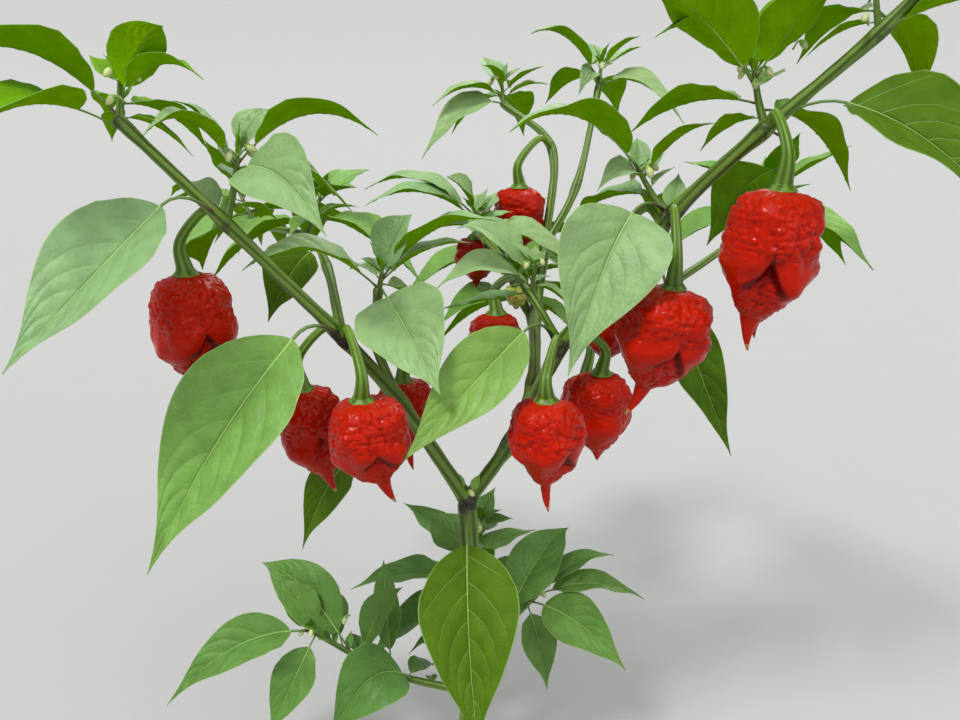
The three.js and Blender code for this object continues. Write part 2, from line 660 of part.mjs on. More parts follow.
// The plant, put together in the order of growth
const plant = new THREE.Group();
const groups = { wood: new THREE.Group(), pods: new THREE.Group(), leaves: new THREE.Group() };
plant.add(groups.wood, groups.pods, groups.leaves);

const materials = {
  wood: new THREE.MeshStandardMaterial({ color: STEM_COLOR, roughness: 0.55, metalness: 0 }),
  pods: new THREE.MeshStandardMaterial({ color: POD_COLOR, roughness: 0.25, metalness: 0 }),
  leaves: new THREE.MeshStandardMaterial({ color: LEAF_COLOR, roughness: 0.5, metalness: 0 }),
};

// Adds a solid as a named mesh whose own origin is where it grows from.
function place(kind, name, solid, root) {
  const from = spot(root);
  const { numProp, vertProperties, triVerts } = solid.getMesh();
  const positions = new Float32Array((vertProperties.length / numProp) * 3);
  for (let i = 0; i < positions.length / 3; i++) {
    positions.set(vertProperties.subarray(i * numProp, i * numProp + 3), i * 3);
  }
  const geometry = new THREE.BufferGeometry()
    .setAttribute("position", new THREE.BufferAttribute(positions, 3))
    .setIndex(new THREE.BufferAttribute(triVerts, 1))
    .translate(-from.x, -from.y, -from.z);
  geometry.computeVertexNormals();
  const mesh = new THREE.Mesh(geometry, materials[kind]);
  mesh.name = name;
  mesh.position.copy(from);
  groups[kind].add(mesh);
}

// The stem stands whole, and each limb is cut clear of what it grows from.
place("wood", "stem", stemSolid(0), "ground");
let wood = stemSolid(GAP);
for (const limb of LIMBS) {
  place("wood", limb.name, largestOf(limbSolid(limb, 0).subtract(wood)), limb.through[0]);
  wood = wood.add(limbSolid(limb, GAP));
  take(limbLine(limb, ROOM_STEPS));
}

// Pods and large leaves start inside the wood and are cut clear of it.
PODS.forEach((pod, index) => {
  place("pods", pod.name, largestOf(podSolid(pod, index).subtract(wood)), pod.root);
  take(podRoom(pod));
});
for (const row of BIG_LEAVES) {
  const leaf = { ...row, at: spot(row.root) };
  place("leaves", row.name, largestOf(leafSolid(leaf).subtract(wood)), row.root);
  take(leafRoom(leaf));
}

// Each shoot is fused from its stem and leaves. All placed leaves come before the first seeded one.
const placed = SHOOTS.map(placedLeaves);
placed.flat().forEach((leaf) => take(leafRoom(leaf)));
SHOOTS.forEach((shoot, index) => {
  const points = shootLine(shoot).getPoints(TWIG_STEPS);
  const radii = points.map((_, i) => shoot.thick * (1 - TWIG_TAPER * (i / TWIG_STEPS)));
  const leaves = [...placed[index], ...seededLeaves(shoot)];
  const whole = wasm.Manifold.union([rod(points, radii, TWIG_SIDES), ...leaves.map(leafSolid)]);
  place("leaves", shoot.name, largestOf(whole.subtract(wood)), shoot.root);
});

export default plant;
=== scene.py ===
import math
from collections import namedtuple

import bpy
import numpy as np
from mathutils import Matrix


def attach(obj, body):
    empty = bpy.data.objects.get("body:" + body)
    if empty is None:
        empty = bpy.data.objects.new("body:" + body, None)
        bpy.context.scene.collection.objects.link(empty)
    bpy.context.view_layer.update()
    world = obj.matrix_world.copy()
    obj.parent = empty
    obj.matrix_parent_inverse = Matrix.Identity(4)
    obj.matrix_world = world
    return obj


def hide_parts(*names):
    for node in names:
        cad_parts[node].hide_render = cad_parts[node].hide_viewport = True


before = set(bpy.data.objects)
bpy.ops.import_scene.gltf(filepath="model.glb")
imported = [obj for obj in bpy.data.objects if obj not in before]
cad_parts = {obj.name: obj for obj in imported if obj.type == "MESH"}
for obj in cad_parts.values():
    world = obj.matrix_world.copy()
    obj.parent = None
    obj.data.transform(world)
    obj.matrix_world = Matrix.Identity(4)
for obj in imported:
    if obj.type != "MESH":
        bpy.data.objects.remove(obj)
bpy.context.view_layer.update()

# A chilli pepper plant with ripe red pods. The plant's measures are in millimetres, as in its source, and
# become metres when a piece is made. +Z is up, -Y is the front, and the origin is the middle of the stem's
# flat foot. A turn is an angle in degrees from +X towards +Y, and a rise is an angle above the level.
MM = 0.001
UP = np.array([0.0, 0.0, 1.0])

# Sizes that the source gives
FORK_HEIGHT = 175
FOOT_RADIUS = 5.8
FLARE_RADIUS = 9.5
FLARE_HEIGHT = 9
FORK_RADIUS = 4.5
JOINT_SWELL = 0.3
JOINT_SPREAD = 0.16
TWIG_TAPER = 0.45
TWIG_SAG = 0.08
LEAF_FOLD = 24
CALYX_RADIUS = 5.2
CALYX_HEIGHT = 1.6
POD_STALK_RADIUS = 1.6
POD_STALK_FLARE = 1.2
POD_STALK_TOP = 0.4
POD_STALK_SWING = 1.04
POD_TAIL = 0.055
POD_TIP_RADIUS = 0.4
ROOM_STEPS = 12
FIRST_ACROSS = np.array([0.8, 0.6, 0.0])
BIG_STALK = 0.24  # of a leaf's line is its stalk, if it grows from a joint
SMALL_STALK = 0.14  # and if it grows from a shoot

# The seeded rule of a shoot's leaves, as the source gives it
GOLDEN_SHARE = 0.381966
SPIRAL_JITTER = 0.08
YOUNG_LENGTH = 0.45
LENGTH_RANGE = (0.85, 1.15)
WIDTH_RANGE = (0.4, 0.48)
LEAFY_SHARE = 0.6
CROWN_RISE = 50
RISE_FALL = 85
RISE_JITTER = 20
TILT_JITTER = 30
ARCH_SHARE = 0.3
SPOT_SHARES = (0.14, 0.35, 0.55, 0.75, 0.95)
SPOT_WIDTH = 0.36
STALK_ROOM = 1
STALK_SPOTS = (0.5, 0.8)  # on a pod's stalk
POD_SPOTS = ((0, 3), (0.25, 2), (0.5, 2), (0.8, 3))  # down a pod, and what its width is divided by there
NEAR_FOOT = 0.02  # a share of a blade that shows which way it sets off

# The same rule once more, for the finer leaves between them
FINER_LEAVES = 6
FINER_LEAVES_ALONE = 14  # on a shoot with no placed leaves
FINER_SIZE = 0.55
FINER_SEED = 100
FINER_SHARE = 0.92  # of a twig carries them

# The joints of the stem and limbs, where everything branches
JOINTS = {
    "ground": (0, 0, 0),
    "ankle": (1, 1, 62),
    "knee": (1, 1, 92),
    "shin": (2, 2, 138),
    "fork": (0, 0, FORK_HEIGHT),
    "left1": (-30, -8, 229),
    "left2": (-52, -18, 262),
    "left3": (-91, -34, 312),
    "left4": (-122, -44, 350),
    "inner1": (-41, 2, 254),
    "inner2": (-38, -2, 278),
    "far1": (-64, 20, 284),
    "far2": (-80, 54, 292),
    "far3": (-114, 96, 290),
    "right1": (41, -8, 255),
    "right2": (82, -20, 313),
    "right3": (111, -34, 347),
    "right4": (143, -44, 379),
    "right5": (166, -50, 408),
    "rein1": (28, 4, 275),
    "rein2": (9, 58, 290),
    "side1": (92, 26, 272),
    "side2": (140, 62, 292),
    "back0": (20, 4, 203),
    "back1": (32, 30, 224),
    "back2": (35, 60, 252),
    "back3": (41, 85, 282),
    "back4": (45, 108, 330),
    "backleft": (19, 124, 353),
    "backright1": (58, 98, 312),
    "backright": (72, 130, 362),
    "low1": (34, 88, 240),
    "low2": (24, 132, 258),
}

# Each limb runs through its joints and tapers from its first radius to its last.
Limb = namedtuple("Limb", "name through first last")
LIMBS = (
    Limb("limb_left_lower", ("fork", "left1", "left2"), 3.2, 2.8),
    Limb("limb_left_upper", ("left2", "left3", "left4"), 2.6, 1.9),
    Limb("limb_left_inner", ("left1", "inner1", "inner2"), 2.2, 1.7),
    Limb("limb_left_back", ("left2", "far1", "far2", "far3"), 2.2, 1.5),
    Limb("limb_right_lower", ("fork", "back0", "right1"), 3.3, 3.0),
    Limb("limb_right_middle", ("right1", "right2", "right3"), 2.9, 2.6),
    Limb("limb_right_upper", ("right3", "right4", "right5"), 2.4, 1.8),
    Limb("limb_right_inner", ("right1", "rein1", "rein2"), 1.9, 1.4),
    Limb("limb_right_back", ("right1", "side1", "side2"), 2.2, 1.6),
    Limb("limb_back_lower", ("back0", "back1", "back2", "back3"), 2.9, 2.6),
    Limb("limb_back_left", ("back3", "back4", "backleft"), 2.3, 1.7),
    Limb("limb_back_right", ("back3", "backright1", "backright"), 2.2, 1.6),
    Limb("limb_back_low", ("back1", "low1", "low2"), 2.1, 1.6),
)

# The pods. hang is the middle of the shoulder, bend is how far the tail curls sideways at its tip, cleft is
# the turn of the deepest fold between the lobes, and deep is how deep the folds are.
Pod = namedtuple("Pod", "name root hang long wide tail lean arch blunt bend cleft deep")
PODS = (
    Pod("pod_left_outer", "left3", (-110, -30, 292), 41, 31, 2, 0.03, 5, 1, 0, -50, 0.9),
    Pod("pod_left_front", "left2", (-41, -44, 244), 35, 32, 9, 0.2, 6, 0.2, 1.5, -72, 1),
    Pod("pod_left_second", "left2", (-70, -20, 240), 39, 28, 9, 0.2, 4, 0.4, 0.5, -62, 0.6),
    Pod("pod_left_inner", "inner1", (-31, 20, 229), 36, 28, 10, 0.05, 4, 0, 1, -85, 0.7),
    Pod("pod_right_low", "right1", (33, -36, 241), 38, 30, 12, 0.02, 6, 0, 1, -52, 1),
    Pod("pod_right_second", "right1", (62, 8, 237), 38, 29, 5, 0, 5, 0.4, 0, 80, 0.4),
    Pod("pod_right_inner", "rein1", (14, 40, 257), 33, 25, 9, -0.05, 5, 0.3, -1, -70, 0.7),
    Pod("pod_right_hidden", (80, -17, 308), (68, 26, 271), 32, 26, 8, -0.05, 5, 0.2, 1, -60, 0.7),
    Pod("pod_right_middle", "right2", (81, -37, 288), 40, 36, 12, -0.22, 3, 0.2, -2, -74, 1),
    Pod("pod_right_upper", "right3", (114, -50, 327), 46, 34, 13, -0.13, 5, 0.5, 3, -103, 1.1),
    Pod("pod_back_upper", "back4", (27, 92, 312), 32, 27, 8, 0, 6, 0.2, 1, -100, 0.8),
    Pod("pod_back_left", (9.5, 57, 287), (4, 80, 287), 22, 21, 3, 0, 2, 0.2, 0, 90, 0.5),
    Pod("pod_right_back", (136, 59, 290), (143, 45, 280), 29, 24, 7, 0, 4, 0.3, 1, -60, 0.8),
    Pod("pod_far_back", "low1", (68, 104, 200), 34, 28, 10, 0, 5, 0.1, 1, 30, 0.9),
)
UNRIPE_POD = Pod("pod_unripe", (33, 59, 256), (24.5, 57, 267), 11, 12, 0.6, 0, 4, 0.6, 0, 60, 0.6)
UNRIPE_CAP = 0.55  # how large its cap and stalk are, as a share of a ripe pod's
FRONT_PODS = {
    "left": ("pod_left_outer", "pod_left_front", "pod_left_second", "pod_left_inner"),
    "right": ("pod_right_low", "pod_right_second", "pod_right_middle", "pod_right_upper"),
}

# The large leaves that grow straight from a joint, with the way from the joint to the blade's foot
BigLeaf = namedtuple("BigLeaf", "name root stalk turn rise long wide arch tilt age")
# the last column picks a leaf's colour class, with its painted light or shade
BIG_LEAVES = (
    BigLeaf("leaf_left_outer", "left3", (-17, -18, 9), -131, -38, 77, 42, 2, 42, "pale"),
    BigLeaf("leaf_left_tip", (-117, -43, 343), (-14, -11, 11), -118, -11, 44, 34, 11, 8, "young"),
    BigLeaf("leaf_left_under", "far1", (-8, 4, 6), -155, -55, 38, 32, 8, 40, "shade"),
    BigLeaf("leaf_left_front", "left2", (-16, -20, 5), -140, -50, 104, 50, 7, 55, "mature"),
    BigLeaf("leaf_left_behind", "left3", (-4, 14, -2), 129, -36, 42, 35, 7, 35, "young"),
    BigLeaf("leaf_fork_front", "fork", (0, -17, -14), -84, -55, 88, 50, 5, 0, "shade"),
    BigLeaf("leaf_under_pods", "left1", (-28, 26, -41), 172, -62, 61, 24, 12, 60, "shade"),
    BigLeaf("leaf_right_low", (38, -8, 257), (-14, -16, 9), -150, -39, 73, 33, 3, 52, "mature"),
    BigLeaf("leaf_right_middle", (79, -20, 315), (-15, -14, 1), -138, -60, 67, 47, 16, 68, "pale"),
    BigLeaf("leaf_right_outer", "right3", (23, -14, 9), -41, -33, 66, 48, 12, 36, "shade"),
    BigLeaf("leaf_right_hanging", (85, -21, 317), (6, 23, -46), 10, -65, 85, 26, 8, 70, "shade"),
    BigLeaf("leaf_right_behind", "right3", (15, 30, -18), 145, -54, 42, 32, 12, 60, "young"),
)

# The leafy shoots. Placed leaves are rows of share of the stem, turn, rise, length, width, arch and tilt.
Shoot = namedtuple("Shoot", "name root crown thick more size toward arc seed age leaves")
SHOOTS = (
    Shoot("shoot_left_tip", "left4", (-120, -43, 364), 1.7, 4, 46, 80, 150, 3, "young", (
        (0.1, -147, 18, 54, 34, 26, -8), (0.4, -21, 48, 35, 21, 13, -40), (0.5, -11, 13, 34, 15, 18, -12),
        (0.9, 165, 40, 15, 10, 0, 20),
    )),
    Shoot("shoot_left_upper", "left3", (-86, -27, 336), 1.8, 4, 50, 90, 120, 5, "pale", (
        (0.85, -139, 22, 36, 20, 23, 5), (0.9, -179, 47, 32, 10, 11, 0), (1, 32, 52, 22, 16, 7, 30),
        (0.9, 10, 11, 55, 26, 26, -10), (0.85, -38, -23, 53, 32, 18, 60), (0.7, 34, -18, 51, 20, 22, 20),
        (0.05, 138, 8, 42, 16, 15, 10),
    )),
    Shoot("shoot_left_inner", "inner2", (-36, -3, 287), 1.5, 3, 44, 90, 100, 7, "pale", (
        (0.1, -156, 13, 58, 20, 25, 12), (0.3, -61, -28, 66, 43, 4, 60), (0.7, -20, 61, 32, 24, 9, 35),
        (0.6, -19, 28, 60, 22, 19, 0), (0.5, -2, 24, 43, 14, 11, 5), (0.9, -138, 38, 13, 10, 0, 20),
    )),
    Shoot("shoot_right_inner", "rein1", (30, 2, 288), 1.3, 1, 30, 20, 60, 9, "pale", (
        (0.3, -152, 6, 46, 18, 19, 30), (0.5, 165, 33, 41, 20, 18, 20), (0.9, -2, 60, 10, 9, 0, 20),
        (0.1, 154, -16, 47, 12, 0, 10),
    )),
    Shoot("shoot_middle", "rein2", (4, 62, 302), 1.4, 7, 56, 90, 200, 11, "pale", (
        (0.7, -169, 10, 57, 18, 21, 10), (0.8, 165, 12, 62, 16, 24, 10), (1, -151, 49, 25, 22, 7, 20),
    )),
    Shoot("shoot_right_middle", "right2", (70, -12, 329), 1.8, 4, 50, 90, 130, 13, "pale", (
        (0.9, -152, 17, 65, 26, 28, -6), (0.8, -152, -5, 24, 15, 13, 30), (0.9, -28, 39, 34, 16, 10, 0),
        (1, 95, 61, 15, 10, 3, 20), (0, 67, 56, 19, 11, 0, 20),
    )),
    Shoot("shoot_right_upper", "right3", (106, -30, 366), 1.8, 5, 56, 90, 150, 15, "young", (
        (0.75, -150, 30, 67, 32, 13, -22), (0.8, -165, 21, 45, 18, 22, -5), (1, 116, 79, 23, 14, 0, 30),
        (0.9, -61, 45, 44, 26, 7, -20), (1, 47, 54, 38, 14, 6, 10),
    )),
    Shoot("shoot_right_tip", "right5", (172, -50, 424), 1.7, 9, 62, 0, 360, 41, "young", ()),
    Shoot("shoot_right_side", "right4", (140, -42, 396), 1.4, 4, 46, 110, 150, 19, "young", (
        (0, -31, 7, 50, 22, 13, 10),
    )),
    Shoot("shoot_back_left", "backleft", (18, 126, 364), 1.5, 8, 60, 90, 160, 21, "pale", (
        (0, -157, -30, 56, 22, 22, 30), (0.4, -157, -6, 42, 15, 15, 5), (0.6, -150, 48, 19, 18, 8, 10),
        (0.6, -16, 31, 27, 12, 4, 5), (0.3, -5, 17, 26, 11, 7, 5),
    )),
    Shoot("shoot_back_right", "backright", (73, 132, 373), 1.5, 8, 60, 80, 160, 23, "pale", (
        (0.3, -163, 30, 48, 19, 22, 5), (0.1, -15, -23, 52, 24, 22, 20), (0.5, -156, -34, 16, 14, 14, 40),
        (0.8, -24, 39, 28, 14, 7, 5),
    )),
    Shoot("shoot_back_middle", "low1", (20, 98, 266), 1.5, 9, 60, 70, 320, 43, "full", ()),
    Shoot("shoot_left_back", "far2", (-73, 66, 313), 1.4, 10, 60, 0, 360, 25, "mature", ()),
    Shoot("shoot_far_left", "far3", (-130, 115, 309), 1.5, 12, 74, 120, 360, 26, "mature", ()),
    Shoot("shoot_far_back", "low2", (15, 158, 277), 1.6, 13, 80, 90, 360, 27, "full", ()),
    Shoot("shoot_right_back", "side2", (158, 84, 313), 1.6, 12, 74, 60, 360, 29, "full", ()),
    Shoot("shoot_low_left", "ankle", (-82, 10, 93), 2.2, 2, 34, 90, 60, 31, "deep", (
        (1, -160, -19, 78, 28, 27, 35), (0.97, -132, -52, 54, 25, 2, 50), (0.35, -156, -28, 54, 38, 42, 50),
        (0.75, 152, 33, 69, 32, 22, 40), (0.95, 154, 51, 37, 20, 6, 35), (0.7, 6, 60, 48, 20, 14, 25),
        (0.85, -115, 42, 19, 10, 4, 30), (0.5, 100, 47, 59, 16, 18, 30), (0.8, 112, -5, 56, 18, 18, 20),
    )),
    Shoot("shoot_low_right", "knee", (37, 30, 101), 2.0, 2, 36, 80, 80, 33, "deep", (
        (0.5, 44, 37, 63, 30, 22, 35), (0.9, 16, 23, 52, 15, 18, 10), (1, -12, 6, 57, 17, 16, 15),
        (0.9, -29, -23, 60, 30, 15, 50), (0.85, -17, -77, 55, 22, 9, 45),
    )),
    Shoot("shoot_stem_upper", "shin", (6, 20, 152), 1.4, 2, 26, 90, 80, 37, "deep", (
        (0.3, 138, 20, 35, 24, 0, 35), (0.8, 57, -9, 21, 9, 0, 20), (1, -14, 14, 18, 8, 0, 20),
    )),
    Shoot("shoot_low_back", "knee", (-4, 72, 112), 2.0, 13, 80, 110, 220, 35, "deep", ()),
)

# How finely each kind of piece is cut
BARK_SIDES = 30
BARK_STEP = 1.3  # between two rows of a limb
TWIG_SIDES = 10
TWIG_STEPS = 16
RIB_SIDES = 6
RIB_ROWS = 14
SMALL_RIB_ROWS = 8
POD_SIDES = {"left": 144, "right": 144, "back": 84}
POD_ROWS = {"left": 96, "right": 96, "back": 60}
POD_TAIL_ROWS = 10
BUD_SIDES = 14

# The grid of half a blade: columns from the midrib to the margin, and rows from the foot to the tip. A long
# blade in front takes the finest grid, and a small one the coarsest.
LONG_COLUMNS = (0, 0.06, 0.18, 0.35, 0.55, 0.75, 0.9, 0.98, 1)
BLADE_COLUMNS = (0, 0.08, 0.3, 0.6, 0.86, 0.98, 1)
SMALL_COLUMNS = (0, 0.1, 0.45, 0.95, 1)
FOOT_ROWS = (0.0004, 0.0015, 0.004, 0.008, 0.013, 0.019, 0.026, 0.034)
HEAD_ROWS = (0.955, 0.975, 0.988, 0.996)
FOOT_GAP = 0.01  # between the foot rows and the first row of the side veins
HEAD_GAP = 0.005  # and between their last row and the head rows
SMALL_LENGTH = 30  # a shorter blade is small
LONG_LENGTH = 56  # and one from here on is long, if it grows in front of FRONT_DEPTH
FRONT_DEPTH = 40
FULL_LENGTH = 60  # from which on a blade has the most side veins
SMALL_VEINS = 4  # side veins on each half of a small blade
VEINS = 6
FULL_VEINS = 7

# Relief of the blades
VEIN_WIDTH = 0.022  # half a side vein's width at the midrib, as a share of the way to the next vein
VEIN_ROWS = (-VEIN_WIDTH, VEIN_WIDTH, 0.2, 0.5, 0.8)
LONG_VEIN_ROWS = (-VEIN_WIDTH, VEIN_WIDTH, 0.1, 0.22, 0.36, 0.5, 0.64, 0.78, 0.9)
VEIN_SLANT = 1.05  # how far a side vein runs on towards the tip for each mm outwards
VEIN_BENDS = (0.55, 0.95)  # how much of that is straight, and how much curves up towards the margin
VEIN_SHIFTS = {1: 0.4, -1: 0.8}  # how far along the midrib the first side vein of each half lies
VEIN_TAPER = 0.8  # how much narrower a vein is at the margin
VEIN_RIDGE = 0.22  # how far it stands out below the blade, in mm
QUILT = 0.009  # how far a blade puffs up between its veins, as a share of its length
QUILT_POWER = 0.7  # below 1 it makes the puffs flat-topped
QUILT_START = 0.16  # the column where they are full
QUILT_FALL = 0.8  # how much lower they are at the margin
BLADE_FOLDS = (1.15, 0.3)  # of the source's fold at the midrib, and how much less at the margin
BLADE_END = 0.998  # keeps the tip's last row off its end
BLADE_THICKNESS = 0.32
THIN_MARGIN = 0.55  # how much thinner the margin is
THICK_LENGTH = 40  # a shorter blade is thinner
RIDGED_LENGTH = 60  # and has lower veins on its underside
TIP_PINCH = 0.38  # how much narrower the tip is than the source's plain outline
TIP_START = 0.66  # where the drawn-out tip begins, as a share of the blade
WAVE = 0.014  # of the margin, as a share of the length
WAVES = 2.3  # along a blade
WAVE_RANGE = (0.6, 1.4)  # from the flattest leaf to the most waved
FRILL = 0.012  # of the margin near the foot, as such a share
FRILLS = 6
FRILL_PLACE = 0.14
FRILL_SPREAD = 0.1
SWAY = 0.02  # sideways bend of a midrib, as a share of the length


def spot(place):
    return np.array(JOINTS[place] if isinstance(place, str) else place, dtype=float)


def lerp(low, high, share):
    return (1 - share) * low + share * high


def smooth(low, high, value):
    """0 below low and 1 above high, with an even rise between them."""
    share = np.clip((value - low) / (high - low), 0, 1)
    return share * share * (3 - 2 * share)


def hill(distance, width):
    """1 at no distance, and nearly 0 from two widths on."""
    return np.exp(-((distance / width) ** 2))


def unit(vectors):
    return vectors / np.linalg.norm(vectors, axis=-1, keepdims=True)


def heading(turn, rise):
    """A direction from its turn and rise."""
    around, above = math.radians(turn), math.radians(rise)
    level = math.cos(above)
    return np.array([level * math.cos(around), level * math.sin(around), math.sin(above)])


def seeded(seed):
    """A linear congruential generator: numbers from 0 to 1 that are the same on every run."""
    state = seed * 7919 + 104729
    while True:
        state = (state * 1664525 + 1013904223) % 2**32
        yield state / 2**32


def line_point(places, share):
    """The point at a share of the smooth line through places, a Catmull-Rom curve."""
    points = [spot(place) for place in places]
    last = len(points) - 1
    along = last * share
    i = min(int(along), last - 1)
    w = along - i
    before = points[i - 1] if i else 2 * points[0] - points[1]
    after = points[i + 2] if i + 2 <= last else 2 * points[last] - points[last - 1]
    leave = 0.5 * (points[i + 1] - before)
    arrive = 0.5 * (after - points[i])
    gap = points[i + 1] - points[i]
    return points[i] + w * leave + w**2 * (3 * gap - 2 * leave - arrive) + w**3 * (leave + arrive - 2 * gap)


def line_points(places, count):
    return np.array([line_point(places, i / count) for i in range(count + 1)])


def frames_along(points):
    """The directions across and up at each point of a line, turned as little as the line allows."""
    ahead = np.vstack([points[1:], points[-1:]])
    behind = np.vstack([points[:1], points[:-1]])
    along = unit(ahead - behind)
    across = np.empty_like(along)
    guide = FIRST_ACROSS
    for i, way in enumerate(along):
        guide = unit(guide - way * guide.dot(way))
        across[i] = guide
    return across, np.cross(along, across)


def ripples(points, size, seed, waves=28):
    """A soft random field over places in mm, with hills and hollows about size across."""
    rng = np.random.default_rng(seed)
    ways = unit(rng.normal(size=(waves, 3))) * (math.pi / size)
    phases = rng.uniform(0, 2 * math.pi, waves)
    return np.cos(points @ ways.T + phases).sum(axis=-1) * math.sqrt(2 / waves)


class Skins:
    """Closed skins, each a stack of rings, that are joined into one object."""

    def __init__(self, *marks):
        self.points = []
        self.quads = []
        self.triangles = []
        self.slots = {"quads": [], "triangles": []}
        self.marks = {name: [] for name in marks}
        self.count = 0
        self.nodes = set()

    def add(self, rings, slots=0, flip=False, twin=False, **marks):
        """Adds a stack of rings, with a slot for each face between two rings, and marks for its points. In a
        twin the second half of each ring lies back to back with the first, so both are cut along one line."""
        rows, around = rings.shape[:2]
        first = self.count + np.arange(rows * around).reshape(rows, around)
        onward = np.roll(first, -1, axis=1)
        quads = np.stack([first[:-1], onward[:-1], onward[1:], first[1:]], axis=-1)
        if twin:
            quads[:, around // 2 :] = np.roll(quads[:, around // 2 :], -1, axis=-1)
        quads = quads.reshape(-1, 4)
        ends = [self.count + rows * around, self.count + rows * around + 1]
        foot = np.stack([onward[0], first[0], np.full(around, ends[0])], axis=-1)
        head = np.stack([first[-1], onward[-1], np.full(around, ends[1])], axis=-1)
        triangles = np.vstack([foot, head])
        if flip:
            quads, triangles = quads[:, ::-1], triangles[:, ::-1]
        faces = np.broadcast_to(slots, (rows - 1, around))
        self.points.append(np.vstack([rings.reshape(-1, 3), rings[0].mean(axis=0), rings[-1].mean(axis=0)]))
        self.quads.append(quads)
        self.triangles.append(triangles)
        self.slots["quads"].append(faces.ravel())
        self.slots["triangles"].append(np.concatenate([faces[0], faces[-1]]))
        for name, found in self.marks.items():
            values = np.broadcast_to(marks.get(name, 0), (rows, around))
            found.append(np.concatenate([values.ravel(), values[0, :1], values[-1, :1]]))
        self.count += rows * around + 2

    def build(self, name, slot, materials):
        """Makes the joined object, which rides on the plant and replaces the nodes that were noted."""
        quads, triangles = np.vstack(self.quads), np.vstack(self.triangles)
        corners = np.concatenate([quads.ravel(), triangles.ravel()])
        starts = np.concatenate([4 * np.arange(len(quads)), 4 * len(quads) + 3 * np.arange(len(triangles))])
        slots = np.concatenate(self.slots["quads"] + self.slots["triangles"])
        mesh = bpy.data.meshes.new(name)
        mesh.vertices.add(self.count)
        mesh.loops.add(len(corners))
        mesh.polygons.add(len(starts))
        mesh.vertices.foreach_set("co", (np.vstack(self.points) * MM).ravel())
        mesh.loops.foreach_set("vertex_index", corners.astype(np.int32))
        mesh.polygons.foreach_set("loop_start", starts.astype(np.int32))
        mesh.polygons.foreach_set("material_index", slots.astype(np.int32))
        for mark, values in self.marks.items():
            layer = mesh.attributes.new(mark, "FLOAT", "POINT")
            layer.data.foreach_set("value", np.concatenate(values).astype(np.float32))
        mesh.update(calc_edges=True)
        mesh.validate()
        for material in materials:
            mesh.materials.append(material)
        piece = bpy.data.objects.new(name, mesh)
        bpy.context.scene.collection.objects.link(piece)
        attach(piece, "root")
        if self.nodes:
            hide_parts(*sorted(self.nodes))


def side_angles(sides):
    """The angle of each side round a line, in radians."""
    return 2 * math.pi * np.arange(sides) / sides


def even(radii, sides):
    """The same radius on all sides of each point."""
    return radii[:, None] * np.ones(sides)


def around(points, radii, across, up):
    """Rings round points, in the plane of the two given directions, with a radius for each point and side."""
    angles = side_angles(radii.shape[1])
    ways = np.cos(angles)[:, None] * across[:, None] + np.sin(angles)[:, None] * up[:, None]
    return points[:, None] + radii[..., None] * ways


def tube(points, radii):
    """Rings square to a line."""
    return around(points, radii, *frames_along(points))


def level_tube(points, radii):
    """Level rings round the points of a line that runs upwards."""
    return around(points, radii, FIRST_ACROSS[None], np.cross(UP, FIRST_ACROSS)[None])


# Shader maths
class Value:
    """A socket that takes part in Python expressions: each operator adds its Math node."""

    def __init__(self, look, socket):
        self.look = look
        self.socket = socket

    def __add__(self, other):
        return self.look.math("ADD", self, other)

    def __sub__(self, other):
        return self.look.math("SUBTRACT", self, other)

    def __rsub__(self, other):
        return self.look.math("SUBTRACT", other, self)

    def __mul__(self, other):
        return self.look.math("MULTIPLY", self, other)

    __radd__ = __add__
    __rmul__ = __mul__


